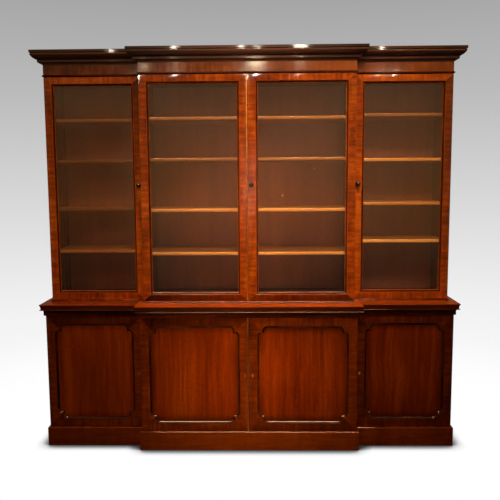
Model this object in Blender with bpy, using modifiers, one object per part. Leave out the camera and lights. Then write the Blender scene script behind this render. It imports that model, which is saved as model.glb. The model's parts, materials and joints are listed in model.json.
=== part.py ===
"""Two stage breakfront library bookcase in mahogany, with glazed doors over panelled cupboards.

Metres, +Z up. The origin is on the floor under the middle of the bounding box, and the front looks along -Y.
The centre bay stands forward of the two wings. Every door hangs on two butt hinges at its outer edge.
"""

import math

import bmesh
import bpy
from mathutils import Matrix, Vector

# Plan: half widths of the stages and how far each front stands from the wall
upper_half_width = 1.2100
upper_centre_half_width = 0.6340
base_wing_side_step = 0.0175
base_centre_side_step = 0.0115
upper_wing_depth = 0.3300
centre_break = 0.0700
base_front_step = 0.0820

# Heights, from the floor up
plinth_height = 0.1150
base_door_foot_gap = 0.0020
base_door_height = 0.6935
base_door_head_gap = 0.0020
upper_door_foot_gap = 0.0020
upper_door_height = 1.3345
upper_door_head_gap = 0.0018

# Boards, gaps and the one overrun that serves all cuts
board_thickness = 0.0220
shelf_thickness = 0.0200
back_thickness = 0.0117
back_rebate = 0.0120
back_lip = 0.0080
frieze_thickness = 0.0300
waist_board_thickness = 0.0260
plinth_thickness = 0.0260
seat_gap = 0.0003
side_reveal = 0.0005
door_edge_gap = 0.0020
meeting_half_gap = 0.0008
overrun = 0.0100
merge_distance = 0.0001

# Mouldings, those of the cornice and of the waist from the bottom up
frieze_bead_height = 0.0120
frieze_bead_projection = 0.0070
frieze_height = 0.0467
cornice_cove_height = 0.0190
cornice_fascia_height = 0.0130
cornice_ovolo_height = 0.0380
cornice_ovolo_foot_projection = 0.0245
cornice_fillet_height = 0.0190
cornice_projection = 0.0600
waist_under_height = 0.0280
waist_under_projection = 0.0095
waist_under_cove = 0.0090
waist_fascia_height = 0.0330
waist_fascia_round = 0.0040
waist_projection = 0.0300
foot_bead_height = 0.0115
foot_bead_projection = 0.0060
foot_bead_round = 0.0035
plinth_projection = 0.0120
plinth_bevel = 0.0060
arc_steps = 4

# Doors
door_thickness = 0.0240
upper_stile = 0.0450
upper_meeting_stile = 0.0480
upper_rail = 0.0400
glass_moulding = 0.0125
glass_moulding_depth = 0.0100
glass_seat_depth = 0.0130
glass_thickness = 0.0030
base_stile = 0.0530
base_rail = 0.0520
panel_moulding = 0.0095
panel_moulding_depth = 0.0070
panel_seat_depth = 0.0080
panel_thickness = 0.0080
moulding_quirk = 0.0015
door_rebate_lip = 0.0080
rebate_clearance = 0.0010

# Shaped inner corners of the cupboard doors
corner_upper_round = (0.0180, 0.0240)
corner_lower_round = (0.0170, 0.0200)
corner_step_run = 0.0130
corner_drop_run = 0.0110

# Hinges
hinge_length = 0.0640
hinge_barrel_radius = 0.0040
hinge_leaf_width = 0.0180
hinge_leaf_thickness = 0.0020
hinge_clearance = 0.0004
hinge_sides = 12
upper_hinge_inset = 0.1300
base_hinge_inset = 0.0900

# Knobs and meeting strips
knob_diameter = 0.0300
knob_projection = 0.0300
knob_height_share = 0.5208
knob_from_edge = 0.0205
knob_steps = 16
strip_width = 0.0075
strip_projection = 0.0035

# Shelves: heights of their top faces as shares of the space in their case, their set-back and their pegs
left_shelf_shares = (0.2246, 0.4223, 0.6453, 0.8315)
centre_shelf_shares = (0.2177, 0.4185, 0.6491, 0.8330)
right_shelf_shares = (0.2675, 0.4422, 0.6437, 0.8467)
base_shelf_share = 0.4784
shelf_front_set_back = 0.0100
shelf_end_gap = 0.0006
shelf_edge_round = 0.0030
peg_radius = 0.0035
peg_length = 0.0090
peg_inset = 0.0450
peg_sides = 6

# Recessed fields on the outer side of the back panels
back_frame_width = 0.0700
back_field_depth = 0.0040

# Worked out from the sizes above
base_half_width = upper_half_width + base_wing_side_step
base_centre_half_width = upper_centre_half_width + base_centre_side_step
upper_centre_depth = upper_wing_depth + centre_break
base_wing_depth = upper_wing_depth + base_front_step
base_centre_depth = upper_centre_depth + base_front_step
overall_depth = base_centre_depth + waist_projection
back_y = overall_depth / 2
base_door_bottom = plinth_height + base_door_foot_gap
base_door_top = base_door_bottom + base_door_height
waist_moulding_bottom = base_door_top + base_door_head_gap
waist_fascia_bottom = waist_moulding_bottom + waist_under_height + waist_under_cove
ledge_height = waist_fascia_bottom + waist_fascia_height
upper_door_bottom = ledge_height + foot_bead_height + upper_door_foot_gap
upper_door_top = upper_door_bottom + upper_door_height
cornice_bottom = upper_door_top + upper_door_head_gap
frieze_bottom = cornice_bottom + frieze_bead_height
frieze_top = frieze_bottom + frieze_height
cornice_fascia_bottom = frieze_top + cornice_cove_height
cornice_ovolo_bottom = cornice_fascia_bottom + cornice_fascia_height
overall_height = cornice_ovolo_bottom + cornice_ovolo_height + cornice_fillet_height
upper_case_bottom = ledge_height + seat_gap
upper_case_top = cornice_bottom - seat_gap
upper_space_bottom = upper_case_bottom + board_thickness
upper_space_top = upper_case_top - board_thickness
base_case_bottom = plinth_height + seat_gap
base_case_top = ledge_height - waist_board_thickness - seat_gap
base_space_bottom = base_case_bottom + board_thickness
base_space_top = base_case_top - board_thickness
base_shelf_top = base_space_bottom + (base_space_top - base_space_bottom) * base_shelf_share

# Knob outline, from its tip to the rose on the door, as shares of half its diameter and of its projection
knob_outline_shares = (
    (0.00, 1.00), (0.42, 0.97), (0.80, 0.86), (1.00, 0.68), (0.92, 0.52),
    (0.62, 0.40), (0.36, 0.30), (0.34, 0.16), (0.58, 0.10), (0.60, 0.00), (0.00, 0.00),
)

# Colour, roughness and metallic value of each material
finishes = {
    "mahogany_polished": ((0.300, 0.072, 0.014), 0.22, 0.0),
    "mahogany_case": ((0.160, 0.040, 0.012), 0.38, 0.0),
    "mahogany_panel": ((0.230, 0.050, 0.010), 0.24, 0.0),
    "mahogany_dark": ((0.110, 0.026, 0.008), 0.25, 0.0),
    "shelf_wood": ((0.330, 0.110, 0.030), 0.35, 0.0),
    "back_wood": ((0.120, 0.050, 0.022), 0.60, 0.0),
    "glass": ((0.850, 0.880, 0.860), 0.03, 0.0),
    "brass": ((0.720, 0.450, 0.170), 0.28, 1.0),
    "ebony": ((0.030, 0.016, 0.012), 0.25, 0.0),
}


def clear_scene():
    for old in list(bpy.data.objects):
        bpy.data.objects.remove(old, do_unlink=True)


def new_collection(name):
    collection = bpy.data.collections.new(name)
    bpy.context.scene.collection.children.link(collection)
    return collection


def make_material(name):
    colour, roughness, metallic = finishes[name]
    material = bpy.data.materials.new(name)
    material.use_nodes = True
    shader = material.node_tree.nodes["Principled BSDF"]
    shader.inputs["Base Color"].default_value = (*colour, 1.0)
    shader.inputs["Roughness"].default_value = roughness
    shader.inputs["Metallic"].default_value = metallic
    return material


def finish_mesh(name, bm, collection, parent=None, location=(0, 0, 0)):
    """Close the bmesh into an object, with every face pointing out."""
    bmesh.ops.recalc_face_normals(bm, faces=bm.faces)
    mesh = bpy.data.meshes.new(name)
    bm.to_mesh(mesh)
    bm.free()
    piece = bpy.data.objects.new(name, mesh)
    collection.objects.link(piece)
    piece.parent = parent
    piece.location = location
    return piece


def make_part(name, bm, finish, parent=None, location=(0, 0, 0)):
    piece = finish_mesh(name, bm, parts, parent, location)
    piece.data.materials.append(materials[finish])
    return piece


def make_cutter(name, bm, parent=None, location=(0, 0, 0)):
    piece = finish_mesh(name, bm, cutters, parent, location)
    piece.display_type = "WIRE"
    piece.hide_render = True
    return piece


def combine(piece, tool, operation):
    step = piece.modifiers.new(tool.name, "BOOLEAN")
    step.operation = operation
    step.solver = "EXACT"
    step.object = tool


def add_box(bm, low, high):
    low, high = Vector(low), Vector(high)
    middle = Matrix.Translation((low + high) / 2)
    size = Matrix.Diagonal((*(high - low), 1))
    bmesh.ops.create_cube(bm, size=1, matrix=middle @ size)


def add_cylinder(bm, centre, radius, length, sides, axis="Z"):
    turn = Matrix.Rotation(math.radians(90), 4, "Y") if axis == "X" else Matrix.Identity(4)
    place = Matrix.Translation(centre) @ turn
    bmesh.ops.create_cone(
        bm, cap_ends=True, segments=sides, radius1=radius, radius2=radius, depth=length, matrix=place
    )


def add_loft(bm, rings):
    """Join rings of points, each with as many points as the first, and cap both ends."""
    loops = [[bm.verts.new(point) for point in ring] for ring in rings]
    for lower, upper in zip(loops, loops[1:]):
        for i in range(len(lower)):
            j = (i + 1) % len(lower)
            bm.faces.new((lower[i], lower[j], upper[j], upper[i]))
    bm.faces.new(loops[0][::-1])
    bm.faces.new(loops[-1])


def quarter(steps=arc_steps):
    """Sine and cosine pairs of a quarter turn."""
    return [(math.sin(math.pi / 2 * i / steps), math.cos(math.pi / 2 * i / steps)) for i in range(steps + 1)]


def breakfront_ring(half_width, centre_half, wing_y, centre_y, rear_y, grow, z):
    """The plan outline of a stage at height z, grown on its front and its two ends."""
    outer, inner = half_width + grow, centre_half + grow
    wing, centre = wing_y - grow, centre_y - grow
    plan = (
        (-outer, rear_y), (-outer, wing), (-inner, wing), (-inner, centre),
        (inner, centre), (inner, wing), (outer, wing), (outer, rear_y),
    )
    return [(x, y, z) for x, y in plan]


def upper_ring(grow, z, depth=0.0, rear=0.0):
    """Outline of the upper stage: depth moves the fronts back, rear moves the back edge in or out."""
    return breakfront_ring(
        upper_half_width, upper_centre_half_width,
        back_y - upper_wing_depth + depth, back_y - upper_centre_depth + depth, back_y + rear, grow, z,
    )


def base_ring(grow, z, depth=0.0, rear=0.0):
    return breakfront_ring(
        base_half_width, base_centre_half_width,
        back_y - base_wing_depth + depth, back_y - base_centre_depth + depth, back_y + rear, grow, z,
    )


def build_cornice():
    """Frame of bead, frieze and cornice moulding, open in the middle, that lifts off the cases."""
    profile = [(0, cornice_bottom)]
    for i in range(1, arc_steps):
        turn = math.pi * i / arc_steps
        rise = (1 - math.cos(turn)) * frieze_bead_height / 2
        profile.append((math.sin(turn) * frieze_bead_projection, cornice_bottom + rise))
    profile.append((0, frieze_bottom))
    profile.append((0, frieze_top))
    for sine, cosine in quarter()[1:]:
        profile.append((cornice_ovolo_foot_projection * (1 - cosine),
                        frieze_top + cornice_cove_height * sine))
    profile.append((cornice_ovolo_foot_projection, cornice_ovolo_bottom))
    ovolo_reach = cornice_projection - cornice_ovolo_foot_projection
    for i in range(1, arc_steps + 1):
        share = i / arc_steps
        wave = share - math.sin(2 * math.pi * share) / (4 * math.pi)
        profile.append((cornice_ovolo_foot_projection + ovolo_reach * share,
                        cornice_ovolo_bottom + cornice_ovolo_height * wave))
    profile.append((cornice_projection, overall_height))
    bm = bmesh.new()
    add_loft(bm, [upper_ring(grow, z) for grow, z in profile])
    cornice = make_part("cornice", bm, "mahogany_dark")
    bm = bmesh.new()
    add_loft(bm, [
        upper_ring(-frieze_thickness, z, rear=-frieze_thickness)
        for z in (cornice_bottom - overrun, overall_height + overrun)
    ])
    combine(cornice, make_cutter("cornice_hollow", bm), "DIFFERENCE")


def build_waist_board():
    """Top board of the base with its moulded edge and the bead that the upper stage stands in."""
    inner = waist_projection - waist_fascia_round
    profile = [(waist_under_projection, waist_moulding_bottom)]
    cove_reach = inner - waist_under_projection
    for sine, cosine in quarter(2)[:-1]:
        profile.append((waist_under_projection + cove_reach * (1 - cosine),
                        waist_fascia_bottom - waist_under_cove * (1 - sine)))
    for sine, cosine in quarter(2):
        profile.append((inner + waist_fascia_round * sine,
                        waist_fascia_bottom + waist_fascia_round * (1 - cosine)))
    for sine, cosine in quarter(2):
        profile.append((inner + waist_fascia_round * cosine,
                        ledge_height - waist_fascia_round * (1 - sine)))
    bm = bmesh.new()
    add_loft(bm, [base_ring(grow, z) for grow, z in profile])
    board = make_part("waist_board", bm, "mahogany_polished")

    bm = bmesh.new()
    bead_flat = foot_bead_projection - foot_bead_round
    bead_top = ledge_height + foot_bead_height
    bead = [(foot_bead_projection, ledge_height - foot_bead_round)]
    for sine, cosine in quarter(3):
        bead.append((bead_flat + foot_bead_round * cosine, bead_top - foot_bead_round * (1 - sine)))
    add_loft(bm, [upper_ring(grow, z) for grow, z in bead])
    combine(board, make_cutter("foot_bead", bm), "UNION")

    bm = bmesh.new()
    add_loft(bm, [
        upper_ring(seat_gap, z, depth=door_thickness + seat_gap, rear=overrun)
        for z in (ledge_height, bead_top + overrun)
    ])
    add_loft(bm, [
        base_ring(seat_gap, z, depth=door_thickness + seat_gap, rear=overrun)
        for z in (waist_moulding_bottom - overrun, base_case_top + seat_gap)
    ])
    combine(board, make_cutter("waist_seats", bm), "DIFFERENCE")


def build_plinth():
    """Plinth frame with a bevelled top edge, hollow under the base case."""
    bm = bmesh.new()
    add_loft(bm, [
        base_ring(plinth_projection, 0),
        base_ring(plinth_projection, plinth_height - plinth_bevel),
        base_ring(plinth_projection - plinth_bevel, plinth_height),
    ])
    plinth = make_part("plinth", bm, "mahogany_dark")
    bm = bmesh.new()
    add_loft(bm, [
        base_ring(plinth_projection - plinth_thickness, z, depth=door_thickness, rear=-plinth_thickness)
        for z in (-overrun, plinth_height + overrun)
    ])
    combine(plinth, make_cutter("plinth_hollow", bm), "DIFFERENCE")


def leaf_cut(bm, hinge_x, inward, front_y, z):
    """Mortise in the front edge of a side for one hinge leaf and its barrel."""
    half = hinge_length / 2 + hinge_clearance
    reach = hinge_x + inward * (hinge_leaf_width + hinge_clearance)
    add_box(
        bm,
        (min(hinge_x, reach), front_y - overrun, z - half),
        (max(hinge_x, reach), front_y + hinge_leaf_thickness + hinge_clearance, z + half),
    )


def barrel_cut(bm, hinge_x, hinge_y, z):
    radius = hinge_barrel_radius + hinge_clearance
    add_cylinder(bm, (hinge_x, hinge_y, z), radius, hinge_length + 2 * hinge_clearance, hinge_sides)


def cut_hinge_seats(case, name, seats, front_y_of):
    """Two crossing cuts, each in its own modifier, for all the hinges that a case carries."""
    leaves, barrels = bmesh.new(), bmesh.new()
    for hinge_x, inward, z in seats:
        front_y = front_y_of(hinge_x)
        leaf_cut(leaves, hinge_x, inward, front_y, z)
        barrel_cut(barrels, hinge_x, front_y - seat_gap / 2, z)
    combine(case, make_cutter(name + "_leaf_mortises", leaves), "DIFFERENCE")
    combine(case, make_cutter(name + "_barrel_mortises", barrels), "DIFFERENCE")


def upper_hinge_heights():
    return (upper_door_bottom + upper_hinge_inset, upper_door_top - upper_hinge_inset)


def base_hinge_heights():
    return (base_door_bottom + base_hinge_inset, base_door_top - base_hinge_inset)


def build_back(name, x0, x1, z0, z1, fields):
    """Back panel in its rebate, with recessed fields between stiles on the wall side."""
    low_x, high_x = x0 + seat_gap, x1 - seat_gap
    low_z, high_z = z0 + seat_gap, z1 - seat_gap
    bm = bmesh.new()
    add_box(bm, (low_x, back_y - back_thickness, low_z), (high_x, back_y, high_z))
    panel = make_part(name, bm, "back_wood")
    bm = bmesh.new()
    pitch = (high_x - low_x - back_frame_width) / fields
    for i in range(fields):
        field_x = low_x + back_frame_width + i * pitch
        add_box(
            bm,
            (field_x, back_y - back_field_depth, low_z + back_frame_width),
            (field_x + pitch - back_frame_width, back_y + overrun, high_z - back_frame_width),
        )
    combine(panel, make_cutter(name + "_fields", bm), "DIFFERENCE")


def upper_shelf_tops(shares):
    return [upper_space_bottom + (upper_space_top - upper_space_bottom) * share for share in shares]


def build_upper_case(bay, x0, x1, depth, shelf_shares, hinge_seats, fields):
    """One open-fronted case with its pegs, its back panel and its four shelves."""
    front_y = back_y - depth + door_thickness + seat_gap
    inner_x0, inner_x1 = x0 + board_thickness, x1 - board_thickness
    inner_z0, inner_z1 = upper_space_bottom, upper_space_top
    bm = bmesh.new()
    add_box(bm, (x0, front_y, upper_case_bottom), (x1, back_y, upper_case_top))
    case = make_part("upper_case_" + bay, bm, "mahogany_case")
    bm = bmesh.new()
    add_box(bm, (inner_x0, front_y - overrun, inner_z0), (inner_x1, back_y + overrun, inner_z1))
    combine(case, make_cutter(f"upper_case_{bay}_space", bm), "DIFFERENCE")
    rebate = (inner_x0 - back_lip, inner_x1 + back_lip, inner_z0 - back_lip, inner_z1 + back_lip)
    bm = bmesh.new()
    add_box(bm, (rebate[0], back_y - back_rebate, rebate[2]), (rebate[1], back_y + overrun, rebate[3]))
    combine(case, make_cutter(f"upper_case_{bay}_rebate", bm), "DIFFERENCE")
    build_back(f"upper_back_{bay}", *rebate, fields)

    shelf_y0 = front_y + shelf_front_set_back
    shelf_y1 = back_y - back_rebate - shelf_end_gap
    pegs = bmesh.new()
    for number, height in enumerate(upper_shelf_tops(shelf_shares), 1):
        build_shelf(f"shelf_{bay}_{number}", inner_x0, inner_x1, shelf_y0, shelf_y1, height)
        peg_z = height - shelf_thickness - seat_gap - peg_radius
        for wall_x, inward in ((inner_x0, 1), (inner_x1, -1)):
            for peg_y in (shelf_y0 + peg_inset, shelf_y1 - peg_inset):
                length = peg_length + board_thickness / 2
                middle_x = wall_x + inward * (peg_length - length / 2)
                add_cylinder(pegs, (middle_x, peg_y, peg_z), peg_radius, length, peg_sides, "X")
    combine(case, make_cutter(f"upper_case_{bay}_pegs", pegs), "UNION")
    cut_hinge_seats(case, f"upper_case_{bay}", hinge_seats, lambda hinge_x: front_y)


def build_shelf(name, x0, x1, y0, y1, top_z):
    bm = bmesh.new()
    add_box(bm, (x0 + shelf_end_gap, y0, top_z - shelf_thickness), (x1 - shelf_end_gap, y1, top_z))
    front_corners = {v for v in bm.verts if v.co.y < (y0 + y1) / 2}
    front_edges = [
        e for e in bm.edges
        if front_corners.issuperset(e.verts) and abs(e.verts[0].co.x - e.verts[1].co.x) > shelf_thickness
    ]
    bmesh.ops.bevel(bm, geom=front_edges, offset=shelf_edge_round, segments=2, affect="EDGES")
    make_part(name, bm, "shelf_wood")


def base_spaces():
    """Inner widths of the three cupboards, as pairs of x."""
    wing_outer = base_half_width - board_thickness
    inner = base_centre_half_width - board_thickness
    return ((-wing_outer, -base_centre_half_width), (-inner, inner), (base_centre_half_width, wing_outer))


def build_base_case():
    """Base with two partitions and a fixed shelf in each cupboard, on the plan of the breakfront."""
    set_back = door_thickness + seat_gap
    bm = bmesh.new()
    add_loft(bm, [base_ring(0, z, depth=set_back) for z in (base_case_bottom, base_case_top)])
    case = make_part("base_case", bm, "mahogany_case")
    bm = bmesh.new()
    floors = (base_space_bottom, base_shelf_top)
    ceilings = (base_shelf_top - shelf_thickness, base_space_top)
    front_y = back_y - base_centre_depth - overrun
    for x0, x1 in base_spaces():
        for z0, z1 in zip(floors, ceilings):
            add_box(bm, (x0, front_y, z0), (x1, back_y + overrun, z1))
    combine(case, make_cutter("base_case_cupboards", bm), "DIFFERENCE")
    edge = base_half_width - board_thickness + back_lip
    z0, z1 = base_space_bottom - back_lip, base_space_top + back_lip
    bm = bmesh.new()
    add_box(bm, (-edge, back_y - back_rebate, z0), (edge, back_y + overrun, z1))
    combine(case, make_cutter("base_case_rebate", bm), "DIFFERENCE")
    build_back("base_back", -edge, edge, z0, z1, 6)
    wing_front = back_y - base_wing_depth + set_back
    centre_front = back_y - base_centre_depth + set_back
    seats = [(side * x, -side, z) for x in (base_half_width, base_centre_half_width)
             for side in (-1, 1) for z in base_hinge_heights()]
    cut_hinge_seats(
        case, "base_case", seats,
        lambda hinge_x: centre_front if math.isclose(abs(hinge_x), base_centre_half_width) else wing_front,
    )


def rectangle_outline(half_width, half_height, grow):
    x, z = half_width + grow, half_height + grow
    return [(x, z), (-x, z), (-x, -z), (x, -z)]


def shaped_outline(half_width, half_height, grow):
    """Opening whose corners turn in two rounds with a small step between them."""
    (upper_x, upper_z), (lower_x, lower_z) = corner_upper_round, corner_lower_round
    lower_centre = (half_width - lower_x, half_height - upper_z - corner_drop_run - lower_z)
    upper_centre = (lower_centre[0] - corner_step_run - upper_x, half_height - upper_z)
    corner = [(lower_centre[0] + (lower_x + grow) * cosine, lower_centre[1] + (lower_z + grow) * sine)
              for sine, cosine in quarter()]
    corner.append((upper_centre[0] + upper_x + grow, lower_centre[1] + lower_z + grow))
    corner += [(upper_centre[0] + (upper_x + grow) * cosine, upper_centre[1] + (upper_z + grow) * sine)
               for sine, cosine in quarter()]
    outline = []
    for mirror_x, mirror_z in ((1, 1), (-1, 1), (-1, -1), (1, -1)):
        turned = [(x * mirror_x, z * mirror_z) for x, z in corner]
        outline += turned if mirror_x == mirror_z else turned[::-1]
    return outline


def opening_profile(moulding, moulding_depth):
    """Growth and depth of the cut through a door frame, from its face to its back."""
    profile = [(moulding, -overrun), (moulding, moulding_quirk)]
    reach, fall = moulding - moulding_quirk, moulding_depth - moulding_quirk
    for sine, cosine in quarter():
        profile.append((reach * cosine, moulding_quirk + fall * sine))
    profile.append((0, door_thickness + overrun))
    return profile


def build_door(name, hinge, hang, width, bottom, height, margins, style):
    """Door frame with its glass or panel, on an empty at its hinge axis.

    hang is 1 where the door reaches from its hinge towards +X and -1 where it reaches towards -X.
    margins are the flat widths of the hanging stile, the free stile and the rails.
    """
    axis = bpy.data.objects.new(name + "_axis", None)
    parts.objects.link(axis)
    axis.location = (hinge[0], hinge[1], bottom)
    back = -seat_gap / 2
    face = back - door_thickness
    near, far = side_reveal, side_reveal + width
    bm = bmesh.new()
    add_box(bm, (min(hang * near, hang * far), face, 0), (max(hang * near, hang * far), back, height))
    frame = make_part("door_" + name, bm, "mahogany_polished", axis)
    hanging, free, rail = margins
    moulding = style["moulding"]
    opening_near, opening_far = near + hanging + moulding, far - free - moulding
    centre = (hang * (opening_near + opening_far) / 2, height / 2)
    half_width = (opening_far - opening_near) / 2
    half_height = height / 2 - rail - moulding
    bm = bmesh.new()
    add_loft(bm, [
        [(centre[0] + x, face + depth, centre[1] + z)
         for x, z in style["outline"](half_width, half_height, grow)]
        for grow, depth in opening_profile(moulding, style["moulding_depth"])
    ])
    combine(frame, make_cutter(f"door_{name}_opening", bm, axis), "DIFFERENCE")

    def fitted_box(lip, front, rear):
        fitted = bmesh.new()
        add_box(
            fitted,
            (centre[0] - half_width - lip, front, centre[1] - half_height - lip),
            (centre[0] + half_width + lip, rear, centre[1] + half_height + lip),
        )
        return fitted

    seat = face + style["seat_depth"]
    rebate = fitted_box(door_rebate_lip, seat, back + overrun)
    combine(frame, make_cutter(f"door_{name}_rebate", rebate, axis), "DIFFERENCE")
    bm = bmesh.new()
    for z in style["hinge_heights"]:
        barrel_cut(bm, 0, 0, z - bottom)
    combine(frame, make_cutter(f"door_{name}_barrels", bm, axis), "DIFFERENCE")
    filling = fitted_box(
        door_rebate_lip - rebate_clearance, seat + seat_gap, seat + seat_gap + style["filling_thickness"]
    )
    make_part(style["filling"] + "_" + name, filling, style["finish"], axis)
    return axis, far, face


def build_hinges(name, hinge, hang, heights):
    """Two butt hinges, each a barrel on the axis with its leaf let into the case."""
    low, high = seat_gap / 2, seat_gap / 2 + hinge_leaf_thickness
    start = math.asin(high / hinge_barrel_radius)
    sweep = math.tau + math.asin(low / hinge_barrel_radius) - start
    outline = []
    for i in range(hinge_sides):
        turn = start + sweep * i / (hinge_sides - 1)
        outline.append((hinge_barrel_radius * math.cos(turn), hinge_barrel_radius * math.sin(turn)))
    outline += [(hinge_leaf_width, low), (hinge_leaf_width, high)]
    levels = (-hinge_length / 2, hinge_length / 2)
    for end, z in zip(("lower", "upper"), heights):
        bm = bmesh.new()
        add_loft(bm, [[(hang * x, y, level) for x, y in outline] for level in levels])
        make_part(f"hinge_{name}_{end}", bm, "brass", location=(hinge[0], hinge[1], z))


def build_knob(name, axis, x, face, z):
    """Turned knob that stands on the door's face, with its own axis along -Y."""
    bm = bmesh.new()
    points = [bm.verts.new((radius * knob_diameter / 2, 0, rise * knob_projection))
              for radius, rise in knob_outline_shares]
    for first, second in zip(points, points[1:]):
        bm.edges.new((first, second))
    mesh = bpy.data.meshes.new(name)
    bm.to_mesh(mesh)
    bm.free()
    knob = bpy.data.objects.new(name, mesh)
    parts.objects.link(knob)
    mesh.materials.append(materials["ebony"])
    knob.parent = axis
    knob.location = (x, face - seat_gap, z)
    knob.rotation_euler = (math.radians(90), 0, 0)
    turned = knob.modifiers.new("turned", "SCREW")
    turned.axis = "Z"
    turned.steps = knob_steps
    turned.render_steps = knob_steps
    turned.use_merge_vertices = True
    turned.merge_threshold = merge_distance


def build_strip(name, axis, edge, face, length):
    """Half round brass strip along the free edge of a left door."""
    outline = []
    for i in range(2 * arc_steps + 1):
        turn = math.pi * i / (2 * arc_steps)
        outline.append((edge - strip_width / 2 - strip_width / 2 * math.cos(turn),
                        face - seat_gap - strip_projection * math.sin(turn)))
    bm = bmesh.new()
    add_loft(bm, [[(x, y, z) for x, y in outline] for z in (0, length)])
    make_part(name, bm, "brass", axis)


def build_stage_doors(stage):
    """Four doors of one stage with their hinges, knobs and meeting strip."""
    upper = stage == "upper"
    half = upper_half_width if upper else base_half_width
    centre_half = upper_centre_half_width if upper else base_centre_half_width
    wing_depth = upper_wing_depth if upper else base_wing_depth
    centre_depth = upper_centre_depth if upper else base_centre_depth
    bottom = upper_door_bottom if upper else base_door_bottom
    height = upper_door_height if upper else base_door_height
    stile = upper_stile if upper else base_stile
    meeting = upper_meeting_stile if upper else base_stile
    rail = upper_rail if upper else base_rail
    style = {
        "filling": "glass" if upper else "panel",
        "finish": "glass" if upper else "mahogany_panel",
        "filling_thickness": glass_thickness if upper else panel_thickness,
        "seat_depth": glass_seat_depth if upper else panel_seat_depth,
        "moulding": glass_moulding if upper else panel_moulding,
        "moulding_depth": glass_moulding_depth if upper else panel_moulding_depth,
        "outline": rectangle_outline if upper else shaped_outline,
        "hinge_heights": upper_hinge_heights() if upper else base_hinge_heights(),
    }
    axis_set_back = door_thickness + seat_gap / 2
    wing_width = half - centre_half - side_reveal - door_edge_gap
    centre_width = centre_half - side_reveal - meeting_half_gap
    doors = (
        ("left_wing", -half, 1, wing_depth, wing_width, (stile, stile, rail)),
        ("centre_left", -centre_half, 1, centre_depth, centre_width, (stile, meeting, rail)),
        ("centre_right", centre_half, -1, centre_depth, centre_width, (stile, meeting, rail)),
        ("right_wing", half, -1, wing_depth, wing_width, (stile, stile, rail)),
    )
    for place, hinge_x, hang, depth, width, margins in doors:
        name = f"{stage}_{place}"
        hinge = (hinge_x, back_y - depth + axis_set_back)
        axis, far, face = build_door(name, hinge, hang, width, bottom, height, margins, style)
        build_hinges(name, hinge, hang, style["hinge_heights"])
        if place == "centre_left":
            build_strip("meeting_strip_" + stage, axis, far, face, height)
        elif upper:
            knob_x = hang * (far - knob_from_edge)
            build_knob("knob_" + place, axis, knob_x, face, height * knob_height_share)


def build_upper_cases():
    low, high = upper_hinge_heights()
    inner = upper_centre_half_width + seat_gap
    build_upper_case(
        "left", -upper_half_width, -inner, upper_wing_depth, left_shelf_shares,
        [(-upper_half_width, 1, low), (-upper_half_width, 1, high)], 2,
    )
    build_upper_case(
        "centre", -upper_centre_half_width, upper_centre_half_width, upper_centre_depth, centre_shelf_shares,
        [(side * upper_centre_half_width, -side, z) for side in (-1, 1) for z in (low, high)], 4,
    )
    build_upper_case(
        "right", inner, upper_half_width, upper_wing_depth, right_shelf_shares,
        [(upper_half_width, -1, low), (upper_half_width, -1, high)], 2,
    )


clear_scene()
parts = new_collection("breakfront_bookcase")
cutters = new_collection("cutters")
materials = {name: make_material(name) for name in finishes}

build_cornice()
build_upper_cases()
build_stage_doors("upper")
build_waist_board()
build_base_case()
build_stage_doors("base")
build_plinth()
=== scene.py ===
"""Looks of the two stage breakfront bookcase: french polished mahogany, old glass and brass.

Metres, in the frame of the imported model: origin on the floor, +X to the right, +Y to the wall, +Z up.
"""
import json
import math

import bmesh
import bpy
from mathutils import Matrix, Vector


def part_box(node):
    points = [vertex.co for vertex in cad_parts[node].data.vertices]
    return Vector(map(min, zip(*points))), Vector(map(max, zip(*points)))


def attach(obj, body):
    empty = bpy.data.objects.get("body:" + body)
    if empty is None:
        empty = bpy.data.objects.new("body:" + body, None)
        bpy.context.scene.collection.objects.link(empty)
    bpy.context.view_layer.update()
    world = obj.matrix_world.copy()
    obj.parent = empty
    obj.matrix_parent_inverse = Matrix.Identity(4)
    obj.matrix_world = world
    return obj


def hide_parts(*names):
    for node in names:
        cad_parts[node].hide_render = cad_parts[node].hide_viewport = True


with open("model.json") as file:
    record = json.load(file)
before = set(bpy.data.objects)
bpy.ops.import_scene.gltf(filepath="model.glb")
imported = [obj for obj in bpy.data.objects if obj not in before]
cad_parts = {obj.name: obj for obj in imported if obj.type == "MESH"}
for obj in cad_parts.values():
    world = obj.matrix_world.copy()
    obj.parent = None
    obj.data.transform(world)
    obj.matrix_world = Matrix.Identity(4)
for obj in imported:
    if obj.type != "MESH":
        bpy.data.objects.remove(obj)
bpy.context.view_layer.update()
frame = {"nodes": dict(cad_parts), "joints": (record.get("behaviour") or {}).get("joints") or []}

# Camera, fitted to the photograph: angles in radians, lens and sensor in millimetres
camera_place = (0.0809, -3.8846, 1.6280)
camera_yaw = -0.0188
camera_pitch_down = 0.1128
camera_roll = 0.0065
camera_lens = 45.47
camera_sensor = 36.0

# Stage
floor_solid_radius = 1.5
floor_fade_radius = 3.4
contact_shadow_reach = 0.09
lamp_colour = (1.0, 0.88, 0.74)
edge_colour = (1.0, 0.55, 0.27)
glint_colour = (1.0, 0.88, 0.70)
frieze_glint_colour = (1.0, 0.78, 0.48)
glint_distance = 2.1
glint_size = 0.012

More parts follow.
